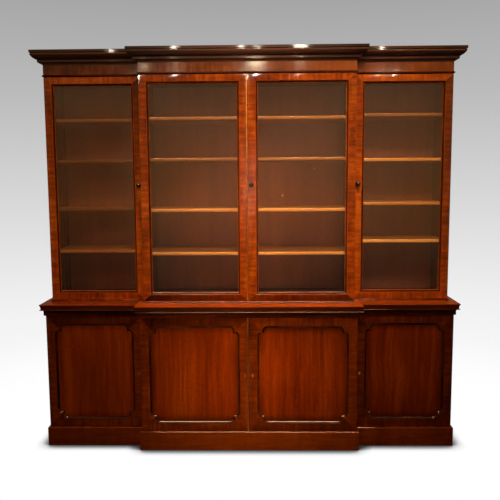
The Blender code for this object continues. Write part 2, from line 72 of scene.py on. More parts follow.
# Lamps: name, place, target, size, power, spread in degrees, the rays that they light, and colour
lamps = [
    ("top_centre", (0.20, -2.2, 3.50), (0.10, -0.14, 1.60), (0.8, 0.4), 5.4, 60.0, "diffuse"),
    ("top_left", (-0.80, -2.2, 3.50), (-0.70, -0.14, 1.50), (0.8, 0.4), 0.4, 60.0, "diffuse"),
    ("top_right", (0.80, -2.2, 3.50), (0.65, -0.14, 1.90), (0.8, 0.4), 3.8, 50.0, "diffuse"),
    ("left_wide", (-2.6, -4.0, 3.50), (-0.8, 0.0, 1.2), (0.8, 0.8), 3.0, 60.0, "diffuse"),
    ("front_level", (0.1, -6.0, 1.5), (0.1, 0.0, 1.5), (2.0, 0.6), 3.5, 40.0, "diffuse"),
    ("front_centre", (0.1, -5.0, 1.5), (0.08, -0.14, 1.50), (0.6, 0.4), 1.2, 14.0, "diffuse"),
    ("front_low", (0.1, -5.0, 1.2), (-0.02, -0.20, 0.44), (0.6, 0.4), 2.2, 14.0, "diffuse"),
    ("overhead", (0.0, -1.1, 3.90), (0.0, -0.35, 0.0), (2.2, 0.5), 6.0, 80.0),
    ("edge_gloss", (0.1, -2.2, 3.4), (0.1, -0.2, 1.0), (2.6, 0.60), 42.0, 50.0, "glossy", edge_colour),
    ("left_side", (-4.2, 0.7, 2.0), (-1.2, 0.1, 1.2), (1.6, 2.2), 19.0),
    ("right_side", (4.2, 0.7, 2.0), (1.2, 0.1, 1.2), (1.6, 2.2), 26.0),
    ("rear", (0.0, 4.2, 2.8), (0.0, 0.3, 1.2), (3.0, 2.0), 90.0),
]

# Gaps, edges and steps shared by all the joinery
hairline = 0.0003
arris = 0.0008
glass_cover = 0.0070
overrun = 0.0100
arc_steps = 10
round_steps = 6
edge_steps = 4
sharp_angle = 35.0

# Grain: how far each next board is cut from the last, cycles a metre along and across, and shares of layers
board_steps = (3.17, 1.93, 0.71)
fine_grain = (9.0, 320.0)
pore_grain = (36.0, 760.0)
fine_share = 0.14
broad_share = 0.30
noise_range = (0.3, 0.7)
# Tone attribute: a positive tone paints light, and edge wear on the door arrises; a negative tone paints
# shade
wear_and_painted_light_share = 0.55
wear_and_painted_light_limit = 1.8
painted_shade_share = 0.75
painted_shade_limit = 1.25
painted_shade_depth = 0.25
brass_painted_shade_depth = 0.4
flat_board_rise = 0.7
grain_axes = {"X": (0, 1, 2), "Y": (1, 0, 2), "Z": (2, 0, 1)}
lengthwise = ("X", "Z")
crossbanded = ("Z", "X")
first_board = {"frieze_bead": 3, "knobs": 5, "frieze": 11, "cornice": 23, "cornice_rail": 31, "waist": 37,
               "ledge_edge": 41, "ledge": 43, "foot_bead": 51, "plinth": 61, "plinth_back": 69,
               "upper": 100, "base": 140, "left": 200, "centre": 210, "right": 220}
door_boards = 10
next_board = {"moulding": 5, "beads": 7, "panel": 5, "lipping": 5}

# Glass
glass_reflection = 0.045
glass_tint = (0.96, 0.96, 0.93, 1.0)
mirror_colour = (1.0, 1.0, 1.0, 1.0)
dust_colour = (0.52, 0.40, 0.32, 1.0)
dust_shares = (0.006, 0.020)

# Cornice and frieze: heights from the bottom up, and reach past the frieze
bead_height = 0.0120
bead_reach = 0.0070
frieze_height = 0.0544
cove_height = 0.0153
cove_reach = 0.0245
fascia_height = 0.0130
ovolo_height = 0.0330
ovolo_light_height = 0.0075
ovolo_turn = 60.0
quirk_height = 0.0055
quirk_depth = 0.0030
cornice_reach = 0.0600
frieze_thickness = 0.0300

# Tones: 0 is plain wood, above 0 is painted light, below 0 is painted shade. Pairs run from low to high
frieze_tones = {"left": (-0.35, -0.35), "centre": (-0.45, 1.0), "right": (0.60, 0.60)}
cornice_tone = 0.30
cornice_end_tones = (-0.60, 0.85)
cove_tones = (1.0, 0.60)
ovolo_tones = (-0.75, 0.35)
ovolo_light_tones = (0.50, 1.10)
quirk_tones = (-1.5, -1.5)
groove_tone = 0.5
nose_tone = -0.42
nose_top_tone = -0.40
centre_nose_tone = -1.15
centre_ledge_tone = -0.10
wing_ledge_tones = {-1: -0.90, 1: -0.65}
foot_bead_tones = (-1.0, -1.0)
plinth_tones = (0.50, 0.70)

# Waist board, foot bead and plinth
waist_under_height = 0.0245
waist_under_reach = 0.0095
waist_cove = 0.0090
waist_reach = 0.0300
waist_round = 0.0040
nose_height = 0.0055
lip_reach = 0.0285
lip_height = 0.0040
groove_reach = 0.0225
foot_bead_height = 0.0115
foot_bead_reach = 0.0060
foot_bead_round = 0.0035
foot_lip_reach = 0.0085
foot_lip_round = 0.0022
foot_bead_depth = 0.0240
plinth_reach = 0.0120
plinth_round = 0.0060
plinth_thickness = 0.0260

# Doors
door_thickness = 0.0240
moulding_quirk = 0.0015
sight_edge = 0.0030
rebate_lip = 0.0080
corner_upper_round = (0.0180, 0.0240)
corner_lower_round = (0.0170, 0.0200)
corner_step_run = 0.0130
corner_drop_run = 0.0110
glazing_bead_width = 0.0065
glazing_bead_inset = 0.0012
glazing_bead_flat_share = 0.3
# Paler door arrises: edge wear and a painted highlight line
door_arris_tone = 0.6
# Painted shade along the panels' sides, and painted light and shade at each panel's foot, middle and head
panel_shade_width = 0.0450
panel_edge_tone = -0.80
panel_tones = {"left_wing": (0.20, 0.20, 0.20), "centre_left": (-0.20, -0.18, -0.10),
               "centre_right": (-0.25, 0.10, -0.45), "right_wing": (-0.20, -0.20, -0.20)}

# Painted light and shade on each door's top, left, bottom and right boards. Pairs run along a board, from
# its left end or foot
door_tones = {
    "upper_left_wing": (0.12, 0.10, -0.05, (0.25, -1.20)),
    "upper_centre_left": (-0.08, (0.17, -0.15), (-1.25, -0.75), (0.15, -0.33)),
    "upper_centre_right": (-0.19, (-0.35, -0.05), -0.90, (0.15, -0.65)),
    "upper_right_wing": (0.37, (0.50, 0.05), 0.25, (-0.10, -0.95)),
    "base_left_wing": (-0.70, 0.20, -0.30, 0.15),
    "base_centre_left": (-0.60, 0.0, -0.20, 0.10),
    "base_centre_right": (-0.20, -0.10, -0.30, 0.25),
    "base_right_wing": (-0.25, -0.45, -0.10, -0.45),
}

# Hinges. Screws are at shares of the leaf's width and height
hinge_barrel_radius = 0.0040
hinge_leaf_width = 0.0180
hinge_leaf_thickness = 0.0020
hinge_leaf_proud = 0.0001
hinge_knuckles = 5
hinge_knuckle_gap = 0.0004
hinge_knuckle_round = 0.0003
hinge_pin_radius = 0.0024
barrel_sides = 24
hinge_screw_shares = ((0.58, 0.18), (0.72, 0.5), (0.58, 0.82))
barrel_clearance = 0.0004

# Screws: head and slot in shares of the radius, and of how proud a hinge leaf stands
screw_radius = 0.0036
screw_sides = 20
screw_head_share = 0.4
screw_proud_share = 0.5
slot_length_share = 0.85
slot_width_share = 0.14
slot_proud_share = 0.3

# Keyholes and locks. The rim's front is in shares of its width and of how proud it stands
keyhole_radius = 0.0030
keyhole_drop = 0.0095
keyhole_foot = 0.0021
keyhole_slot_turn = -58.0
keyhole_steps = 20
keyhole_rim = 0.0024
keyhole_depth = 0.0090
keyhole_proud = 0.0005
keyhole_edge_share = 0.4
keyhole_front_shares = ((0.6, 1.0), (0.2, 0.8), (0.0, 0.0))
upper_keyhole_height = 1.5510
base_keyhole_height = 0.4620
wing_keyhole_height = 0.4560
keyhole_from_edge = 0.0215
bright_rims = ("base_centre_right", "base_right_wing")
lock_plate_size = (0.0300, 0.0700)
lock_screw_shares = ((0.25, 0.41), (0.25, -0.41), (0.8, 0.41), (0.8, -0.41))

# Knobs, in shares of the radius and of the reach from the door
knob_sides = 48
knob_sharp_angle = 60.0
knob_outline_shares = [
    (0.30, 0.985), (0.55, 0.945), (0.78, 0.87), (0.93, 0.77), (1.0, 0.66), (0.97, 0.57), (0.86, 0.50),
    (0.66, 0.44), (0.60, 0.415), (0.62, 0.385), (0.52, 0.36), (0.38, 0.30), (0.33, 0.23), (0.36, 0.17),
    (0.50, 0.13), (0.58, 0.11), (0.62, 0.07), (0.60, 0.0),
]

# Meeting strips, whose ends are in shares of the eased length and of the height
strip_steps = 14
strip_end_shares = ((0.0, 0.55), (0.3, 0.85), (1.0, 1.0))
# Painted shade on the lower strip: where it starts and is full, in shares of the height, and its tone
strip_shade_shares = (0.60, 0.80)
strip_shade_tone = -0.75

# Shelves
shelves_in_bay = 4
shelf_round_share = 0.28
square_on = 0.9
lipping_depth = 0.0060
# Painted light and shade on each bay's shelf lippings, one tone for each shelf
lipping_tones = {"left": (-0.35, -1.25, -1.25, -0.95), "centre": (0.95, 0.60, -0.80, -0.60),
                 "right": (1.8, 0.20, 0.75, -0.90)}

# Frame lines that the pieces follow
places = ("left_wing", "centre_left", "centre_right", "right_wing")
bays = ("left", "centre", "right")
joint_place = {joint["child"]: Vector(joint["pos_m"]) for joint in frame["joints"]}
back_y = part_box("cornice")[1].y
upper_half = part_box("upper_case_right")[1].x
upper_centre_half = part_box("upper_case_centre")[1].x
upper_wing_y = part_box("door_upper_left_wing")[0].y
upper_centre_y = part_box("door_upper_centre_left")[0].y
base_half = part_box("base_case")[1].x
base_centre_half = joint_place["base_centre_right_door"].x
base_wing_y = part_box("door_base_left_wing")[0].y
base_centre_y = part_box("door_base_centre_left")[0].y
cornice_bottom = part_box("cornice")[0].z
cornice_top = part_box("cornice")[1].z
bead_top = cornice_bottom + bead_height
frieze_top = bead_top + frieze_height
waist_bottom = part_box("waist_board")[0].z
ledge_bottom = waist_bottom + waist_under_height + waist_cove
ledge_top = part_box("waist_board")[1].z - foot_bead_height
ledge_flat_reach = waist_reach - waist_round
plinth_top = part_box("plinth")[1].z

# Plan of each stage: half its width, half its centre's width, the wings' face and the centre's face
plans = {
    "upper": (upper_half, upper_centre_half, upper_wing_y, upper_centre_y),
    "base": (base_half, base_centre_half, base_wing_y, base_centre_y),
}

# Where lamps glint on the fronts: the face, the height, the place along it, the lamp's width and its power
cornice_y = upper_centre_y - cornice_reach
cornice_wing_y = upper_wing_y - cornice_reach
glints = [
    (cornice_y, 2.3705, -0.412, 0.040, 0.24), (cornice_y, 2.3705, -0.032, 0.050, 0.22),
    (cornice_y, 2.3705, 0.060, 0.060, 0.10), (cornice_y, 2.3705, 0.307, 0.110, 0.65),
    (cornice_wing_y, 2.3670, -0.788, 0.030, 0.18), (cornice_wing_y, 2.3670, 0.777, 0.030, 0.22),
    (upper_centre_y, 2.213, -0.621, 0.012, 0.25), (upper_centre_y, 2.213, -0.409, 0.012, 0.26),
    (upper_centre_y, 2.210, -0.006, 0.030, 0.45), (upper_centre_y, 2.213, 0.063, 0.020, 0.60),
    (upper_centre_y, 2.210, 0.308, 0.010, 0.30), (upper_wing_y, 2.216, 0.773, 0.012, 0.30),
    (upper_wing_y, 2.216, 0.867, 0.012, 0.30),
]
frieze_glints = [
    (upper_centre_y, 2.284, -0.600, 0.060, 0.20), (upper_centre_y, 2.300, -0.422, 0.012, 0.08),
    (upper_centre_y, 2.296, 0.050, 0.120, 1.15), (upper_centre_y, 2.300, 0.306, 0.012, 0.09),
]


# Shader nodes

def feed(tree, socket, value):
    """Link a socket to another node's output, or set its constant."""
    if isinstance(value, bpy.types.NodeSocket):
        tree.links.new(value, socket)
    else:
        socket.default_value = value


def add_node(tree, kind, inputs=None, **settings):
    made = tree.nodes.new("ShaderNode" + kind)
    for name, value in settings.items():
        setattr(made, name, value)
    for key, value in (inputs or {}).items():
        feed(tree, made.inputs[key], value)
    return made


def math_node(tree, operation, *values):
    return add_node(tree, "Math", dict(enumerate(values)), operation=operation).outputs[0]


def vector_node(tree, operation, first, second):
    return add_node(tree, "VectorMath", {0: first, 1: second}, operation=operation).outputs[0]


def stretched(tree, place, along, across):
    """Coordinates whose first axis runs with the grain, scaled for a noise."""
    return vector_node(tree, "MULTIPLY", place, (along, across, across))


def noise(tree, place, detail=2.0, roughness=0.5, scale=1.0, output="Fac"):
    return add_node(tree, "TexNoise", {
        "Vector": place, "Scale": scale, "Detail": detail, "Roughness": roughness,
    }).outputs[output]


def rescaled(tree, value, source, target, **settings):
    """Map a value from one range to another."""
    return add_node(tree, "MapRange", {
        "Value": value, "From Min": source[0], "From Max": source[1],
        "To Min": target[0], "To Max": target[1],
    }, **settings).outputs[0]


def bumped(tree, height, strength, distance):
    return add_node(tree, "Bump", {"Strength": strength, "Distance": distance, "Height": height}).outputs[0]


def ramp(tree, value, stops):
    """Colours, or greys where a stop holds one number, at places along a value."""
    made = add_node(tree, "ValToRGB", {"Fac": value})
    elements = made.color_ramp.elements
    while len(elements) < len(stops):
        elements.new(0.5)
    for element, (position, colour) in zip(elements, stops):
        element.position = position
        element.color = (*colour, 1.0) if isinstance(colour, tuple) else (colour, colour, colour, 1.0)
    return made.outputs["Color"]


def mix_colour(tree, share, first, second, blend="MIX"):
    made = add_node(tree, "Mix", data_type="RGBA", blend_type=blend)
    for name, value in (("Factor", share), ("A", first), ("B", second)):
        socket = next(socket for socket in made.inputs if socket.name == name and socket.enabled)
        feed(tree, socket, (*value, 1.0) if isinstance(value, tuple) else value)
    return next(socket for socket in made.outputs if socket.enabled)


def mix_shader(tree, share, first, second):
    return add_node(tree, "MixShader", {0: share, 1: first.outputs[0], 2: second.outputs[0]})


def tone_share(tree, sign, most):
    """How far the tone paints light, or paints shade where the sign is -1, up to a limit."""
    tone = add_node(tree, "Attribute", attribute_name="tone").outputs["Fac"]
    signed = math_node(tree, "MULTIPLY", tone, sign)
    return add_node(tree, "Clamp", {"Value": signed, "Max": most}).outputs[0]


def darker(colour, depth):
    return tuple(part * depth for part in colour)


def empty_material(name):
    material = bpy.data.materials.new(name)
    material.use_nodes = True
    material.node_tree.nodes.clear()
    return material, material.node_tree


# Materials

def grain_place(tree, whole):
    """Coordinates with the grain along the first axis, from the boards' own attribute.

    In a whole case or back the grain stands on the walls and lies lengthwise on the flat boards.
    """
    if not whole:
        return add_node(tree, "Attribute", attribute_name="grain").outputs["Vector"]
    lying = add_node(tree, "TexCoord").outputs["Object"]
    x, y, z = add_node(tree, "SeparateXYZ", {0: lying}).outputs
    upright = add_node(tree, "CombineXYZ", {0: z, 1: x, 2: y}).outputs[0]
    normal = add_node(tree, "NewGeometry").outputs["Normal"]
    rise = add_node(tree, "SeparateXYZ", {0: normal}).outputs[2]
    flat = math_node(tree, "GREATER_THAN", math_node(tree, "ABSOLUTE", rise), flat_board_rise)
    return mix_colour(tree, flat, upright, lying)


def wood(name, tones, figure, mottle, mottle_share, rough=(0.26, 0.36), coat=1.0, coat_rough=0.06,
         bump=0.25, whole=False, bend=0.025, contrast=(0.34, 0.66), ripple=0.03):
    """Mahogany under a coat of polish, which holds all the gloss.

    The tones are dark, middle and light. Figure and mottle are cycles a metre along and across.
    """
    material, tree = empty_material(name)
    place = grain_place(tree, whole)
    drift = noise(tree, place, scale=2.6, output="Color")
    centred = vector_node(tree, "SUBTRACT", drift, (0.5, 0.5, 0.5))
    bent = vector_node(tree, "ADD", place, vector_node(tree, "MULTIPLY", centred, (0.0, bend, bend)))
    stripes = noise(tree, stretched(tree, bent, *figure), 3.0, 0.62)
    clouds = noise(tree, stretched(tree, bent, *mottle))
    fine = noise(tree, stretched(tree, bent, *fine_grain), roughness=0.6)
    pores = noise(tree, stretched(tree, bent, *pore_grain), 1.0)
    broad = noise(tree, place, 1.0, scale=1.7)
    value = math_node(tree, "MULTIPLY", stripes, 1.0 - fine_share - mottle_share)
    value = math_node(tree, "MULTIPLY_ADD", clouds, mottle_share, value)
    value = math_node(tree, "MULTIPLY_ADD", fine, fine_share, value)
    sway = math_node(tree, "MULTIPLY_ADD", broad, broad_share, -broad_share / 2)
    value = math_node(tree, "ADD", value, sway)
    dark, middle, light = tones
    low, high = contrast
    colour = ramp(tree, value, ((low, dark), ((low + high) / 2, middle), (high, light)))
    colour = mix_colour(tree, 1.0, colour, ramp(tree, pores, ((0.36, 0.62), (0.47, 1.0))), "MULTIPLY")
    # The tone attribute paints light, and edge wear, towards the light tone, and paints shade towards a
    # darkened dark tone
    wear_and_painted_light = math_node(tree, "MULTIPLY", tone_share(tree, 1.0, wear_and_painted_light_limit), wear_and_painted_light_share)
    painted_shade = math_node(tree, "MULTIPLY", tone_share(tree, -1.0, painted_shade_limit), painted_shade_share)
    colour = mix_colour(tree, wear_and_painted_light, colour, light)
    colour = mix_colour(tree, painted_shade, colour, darker(dark, painted_shade_depth))
    height = math_node(tree, "MULTIPLY_ADD", fine, 0.5, math_node(tree, "MULTIPLY", pores, 0.5))
    shader = add_node(tree, "BsdfPrincipled", {
        "Base Color": colour, "Roughness": rescaled(tree, fine, noise_range, rough),
        "Normal": bumped(tree, height, bump, 0.0004), "Specular IOR Level": 0.0 if coat else 0.3,
        "Coat Weight": coat, "Coat Roughness": coat_rough,
        "Coat Normal": bumped(tree, noise(tree, place, scale=16.0), ripple, 0.0012),
    })
    add_node(tree, "OutputMaterial", {"Surface": shader.outputs[0]})
    return material


def glass_material():
    """Old window glass as a thin pane: it mirrors by its angle, and a faint film of dust catches light."""
    material, tree = empty_material("old_glass")
    place = add_node(tree, "TexCoord").outputs["Object"]
    ripple = bumped(tree, noise(tree, place, 1.0, scale=5.0), 0.35, 0.002)
    clear = add_node(tree, "BsdfTransparent", {"Color": glass_tint})
    film = add_node(tree, "BsdfDiffuse", {"Color": dust_colour})
    mirror = add_node(tree, "BsdfGlossy", {"Color": mirror_colour, "Roughness": 0.03, "Normal": ripple})
    dust = rescaled(tree, noise(tree, place, 3.0, 0.6, 3.0), noise_range, dust_shares)
    facing = add_node(tree, "LayerWeight", {"Blend": 0.5}).outputs["Facing"]
    glancing = math_node(tree, "POWER", facing, 5.0)
    angle = math_node(tree, "MULTIPLY_ADD", glancing, 1.0 - glass_reflection, glass_reflection)
    shader = mix_shader(tree, angle, mix_shader(tree, dust, clear, film), mirror)
    add_node(tree, "OutputMaterial", {"Surface": shader.outputs[0]})
    return material


def brass_material(name, tones):
    """Lacquered brass, browned in patches. The tones are dark, middle and light. A negative tone attribute
    paints shade on it.
    """
    material, tree = empty_material(name)
    place = add_node(tree, "TexCoord").outputs["Object"]
    patches = noise(tree, place, 4.0, 0.6, 38.0)
    scratches = noise(tree, stretched(tree, place, 900.0, 60.0))
    colour = ramp(tree, patches, tuple(zip((0.30, 0.50, 0.72), tones)))
    colour = mix_colour(tree, tone_share(tree, -1.0, 1.0), colour, darker(tones[0], brass_painted_shade_depth))
    shader = add_node(tree, "BsdfPrincipled", {
        "Base Color": colour, "Roughness": rescaled(tree, patches, noise_range, (0.50, 0.32)),
        "Metallic": 1.0, "Normal": bumped(tree, scratches, 0.15, 0.0002),
    })
    add_node(tree, "OutputMaterial", {"Surface": shader.outputs[0]})
    return material


def make_materials():
    return {
        "polished": wood(
            "polished_crossband", ((0.095, 0.008, 0.0003), (0.27, 0.032, 0.0008), (0.56, 0.095, 0.002)),
            (5.0, 46.0), (24.0, 6.0), 0.36, contrast=(0.33, 0.67)),
        "base": wood(
            "base_crossband", ((0.044, 0.0045, 0.0003), (0.115, 0.0135, 0.0006), (0.24, 0.034, 0.001)),
            (5.0, 46.0), (20.0, 5.0), 0.36, contrast=(0.32, 0.68)),
        "panel": wood(
            "flame_panel", ((0.08, 0.0065, 0.0003), (0.175, 0.0175, 0.0006), (0.31, 0.042, 0.001)),
            (1.5, 38.0), (1.2, 7.0), 0.34, bend=0.06, contrast=(0.3, 0.72)),
        "dark": wood(
            "dark_moulding", ((0.016, 0.0024, 0.0005), (0.05, 0.007, 0.0009), (0.12, 0.019, 0.002)),
            (2.0, 60.0), (10.0, 6.0), 0.25, coat_rough=0.12, ripple=0.01),
        "bead": wood(
            "dull_bead", ((0.016, 0.0024, 0.0005), (0.045, 0.006, 0.0008), (0.09, 0.013, 0.002)),
            (2.0, 60.0), (10.0, 6.0), 0.25, coat=0.2, coat_rough=0.12, ripple=0.01),
        "cornice": wood(
            "cornice_moulding", ((0.014, 0.0042, 0.0016), (0.032, 0.0095, 0.0038), (0.15, 0.05, 0.024)),
            (2.0, 40.0), (6.0, 6.0), 0.25, coat_rough=0.07, contrast=(0.34, 0.8), ripple=0.01),
        "frieze": wood(
            "frieze_crossband", ((0.07, 0.011, 0.0015), (0.16, 0.028, 0.003), (0.29, 0.062, 0.008)),
            (5.0, 40.0), (20.0, 6.0), 0.35, coat_rough=0.11),
        "ledge": wood(
            "ledge_board", ((0.36, 0.044, 0.001), (0.46, 0.063, 0.0015), (0.56, 0.092, 0.003)),
            (1.6, 26.0), (6.0, 6.0), 0.25, coat=0.5, coat_rough=0.15, ripple=0.01),
        "foot": wood(
            "foot_bead", ((0.07, 0.006, 0.0003), (0.2, 0.022, 0.0006), (0.4, 0.062, 0.0015)),
            (5.0, 46.0), (24.0, 6.0), 0.36, coat=0.65, coat_rough=0.16, ripple=0.005),
        "ledge_edge": wood(
            "ledge_edge", ((0.3, 0.03, 0.001), (0.4, 0.045, 0.0015), (0.5, 0.07, 0.003)),
            (1.6, 26.0), (6.0, 6.0), 0.25, coat=0.02, coat_rough=0.2),
        "shelf": wood(
            "shelf_board", ((0.3, 0.08, 0.012), (0.44, 0.13, 0.022), (0.6, 0.2, 0.04)),
            (1.8, 30.0), (6.0, 6.0), 0.25, coat=0.5, coat_rough=0.15),
        "lipping": wood(
            "shelf_lipping", ((0.48, 0.11, 0.012), (0.64, 0.185, 0.022), (1.0, 0.37, 0.065)),
            (1.2, 20.0), (3.0, 4.0), 0.25, coat=0.8, coat_rough=0.14, contrast=(0.25, 0.9)),
        "case": wood(
            "case_board", ((0.06, 0.01, 0.001), (0.14, 0.026, 0.003), (0.24, 0.05, 0.006)),
            (1.8, 34.0), (9.0, 6.0), 0.25, coat=0.7, coat_rough=0.12, whole=True),
        "back": wood(
            "back_board", ((0.105, 0.018, 0.003), (0.165, 0.029, 0.005), (0.23, 0.046, 0.009)),
            (1.4, 14.0), (3.0, 4.0), 0.3, rough=(0.5, 0.7), coat=0.0, bump=0.5, whole=True,
            contrast=(0.2, 0.8)),
        "ebony": wood(
            "ebonised_knob", ((0.006, 0.003, 0.002), (0.014, 0.006, 0.004), (0.035, 0.014, 0.008)),
            (20.0, 300.0), (60.0, 60.0), 0.2, coat_rough=0.05),
        "brass": brass_material(
            "aged_brass", ((0.42, 0.23, 0.065), (0.62, 0.38, 0.125), (0.8, 0.55, 0.23))),
        "tarnished": brass_material(
            "tarnished_brass", ((0.07, 0.03, 0.01), (0.16, 0.08, 0.026), (0.3, 0.17, 0.06))),
        "glass": glass_material(),
    }


# Meshes

def new_bmesh():
    bm = bmesh.new()
    bm.loops.layers.float_vector.new("grain")
    bm.loops.layers.float.new("tone")
    return bm


def grained(bm, faces, axis, board=0, material=0, tone=0.0):
    """Run the grain of these faces along an axis. Each board number reads another part of the wood."""
    grain = bm.loops.layers.float_vector["grain"]
    shade = bm.loops.layers.float["tone"]
    offset = Vector([board * step for step in board_steps])
    for face in faces:
        face.material_index = material
        for loop in face.loops:
            loop[grain] = Vector([loop.vert.co[k] for k in grain_axes[axis]]) + offset
            loop[shade] = tone


def shade_faces(bm, faces, axis, low, high, tones):
    """Add to the tone of faces, from the first tone at one place on an axis to the second at another."""
    shade = bm.loops.layers.float["tone"]
    first, last = tones
    for face in faces:
        for loop in face.loops:
            loop[shade] += first + (last - first) * (loop.vert.co[axis] - low) / (high - low)


def shade_along(bm, axis, low, high, tones):
    """Shade the faces whose middle is between two places on an axis."""
    between = [face for face in bm.faces
               if low - hairline < face.calc_center_median()[axis] < high + hairline]
    shade_faces(bm, between, axis, low, high, tones)


def add_object(name, data):
    made = bpy.data.objects.new(name, data)
    bpy.context.scene.collection.objects.link(made)
    return made


def closed_mesh(name, bm):
    """Mesh of a bmesh that is finished with, its faces turned outwards."""
    bmesh.ops.recalc_face_normals(bm, faces=bm.faces)
    mesh = bpy.data.meshes.new(name)
    bm.to_mesh(mesh)
    bm.free()
    return mesh


def make_piece(name, bm, materials, body, replaces=(), sharp=sharp_angle):
    """Close the bmesh into a piece of the object that rides on a body."""
    mesh = closed_mesh(name, bm)
    for material in materials:
        mesh.materials.append(finishes[material])
    mesh.shade_smooth()
    mesh.set_sharp_from_angle(angle=math.radians(sharp))
    piece = add_object(name, mesh)
    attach(piece, body)
    if replaces:
        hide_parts(*replaces)
    return piece


def add_ring(bm, points):
    return [bm.verts.new(point) for point in points]


def bridge(bm, first, second):
    """Quads between two closed rings of as many points."""
    count = len(first)
    return [bm.faces.new((first[i], first[(i + 1) % count], second[(i + 1) % count], second[i]))
            for i in range(count)]


def loft(bm, rings, closed=False):
    """Join rings one after the other, then the last to the first, or else close both ends with a face."""
    for first, second in zip(rings, rings[1:]):
        bridge(bm, first, second)
    if closed:
        bridge(bm, rings[-1], rings[0])
    else:
        bm.faces.new(rings[0])
        bm.faces.new(rings[-1])


def split(bm, axis, place, faces=None):
    """Cut all faces, or only those given, across an axis."""
    normal = Vector([float(k == axis) for k in range(3)])
    bmesh.ops.bisect_plane(bm, geom=[*bm.verts, *bm.edges, *(faces or bm.faces)],
                           plane_co=normal * place, plane_no=normal)


def faces_at(verts):
    return list({face for vert in verts for face in vert.link_faces})


def add_box(bm, corner, opposite):
    middle = (Vector(corner) + Vector(opposite)) / 2
    size = [abs(side) for side in Vector(opposite) - Vector(corner)]
    place = Matrix.Translation(middle) @ Matrix.Diagonal((*size, 1.0))
    return faces_at(bmesh.ops.create_cube(bm, size=1.0, matrix=place)["verts"])


def add_cylinder(bm, centre, radius, length, sides=barrel_sides, turn=0.0):
    """An upright cylinder, or one turned about the X axis."""
    place = Matrix.Translation(centre) @ Matrix.Rotation(turn, 4, "X")
    made = bmesh.ops.create_cone(bm, cap_ends=True, segments=sides, radius1=radius, radius2=radius,
                                 depth=length, matrix=place)
    return faces_at(made["verts"])


def soften(bm, faces, width, segments=2):
    """Round the edges of these faces."""
    edges = list({edge for face in faces for edge in face.edges})
    bmesh.ops.bevel(bm, geom=edges, offset=width, segments=segments, affect="EDGES")


def arc(centre, radii, start, end, steps=arc_steps):
    """Points on an arc, angles in degrees. The radii are one length, or two where the arc is elliptical."""
    across, up = radii if isinstance(radii, tuple) else (radii, radii)
    turns = [math.radians(start + (end - start) * i / steps) for i in range(steps + 1)]
    return [(centre[0] + across * math.cos(turn), centre[1] + up * math.sin(turn)) for turn in turns]


def breakfront_path(stage, reach, depth=0.0):
    """Plan of a stage's front and sides as seen from above, from the left back round to the right back."""
    half, inner, wing, centre = plans[stage]
    half, inner = half + reach, inner + reach
    wing, centre = wing - reach + depth, centre - reach + depth
    return [(-half, back_y), (-half, wing), (-inner, wing), (-inner, centre),
            (inner, centre), (inner, wing), (half, wing), (half, back_y)]


def sweep(bm, stage, profile, board, axes=("X", "Y"), tones=(0.0, 0.0)):
    """Run a closed profile of (reach, z) or (reach, z, depth) round the stage, with mitred corners.

    Axes are the grain's on the fronts and on the sides. The second tone is that of the forward length.
    """
    rings = [add_ring(bm, [(x, y, z) for x, y in breakfront_path(stage, reach, *depth)])
             for reach, z, *depth in profile]
    segments = len(rings[0]) - 1
    for k in range(segments):
        faces = [bm.faces.new((ring[k], ring[k + 1], following[k + 1], following[k]))
                 for ring, following in zip(rings, rings[1:] + rings[:1])]
        tone = tones[1] if k == segments // 2 else tones[0]
        grained(bm, faces, axes[0] if k % 2 else axes[1], board + k, 0, tone)
    for k in (0, segments):
        grained(bm, [bm.faces.new([ring[k] for ring in rings])], axes[1], board + k)


# Cornice and frieze

def build_frieze():
    """Small bead at the foot, and the plain frieze."""
    bm = new_bmesh()
    seat = -2 * hairline
    profile = arc((0.0, cornice_bottom + bead_height / 2), (bead_reach, bead_height / 2), -90, 90)
    profile += [(seat, bead_top), (seat, cornice_bottom)]
    sweep(bm, "upper", profile, first_board["frieze_bead"])
    make_piece("frieze_bead", bm, ["bead"], "case", ["cornice"])

    bm = new_bmesh()
    seat, foot, top, inside = -3 * hairline, bead_top + hairline, frieze_top - hairline, -frieze_thickness
    profile = [(seat, cornice_bottom), (seat, foot), (0.0, foot), (0.0, top), (inside, top),
               (inside, cornice_bottom)]
    sweep(bm, "upper", profile, first_board["frieze"], ("Z", "Z"))
    # Painted light and shade along the frieze, lightest towards the right
    shade_along(bm, 0, -upper_half, -upper_centre_half - frieze_thickness, frieze_tones["left"])
    shade_along(bm, 0, -upper_centre_half, upper_centre_half, frieze_tones["centre"])
    shade_along(bm, 0, upper_centre_half + frieze_thickness, upper_half, frieze_tones["right"])
    make_piece("frieze", bm, ["frieze"], "case", ["cornice"])


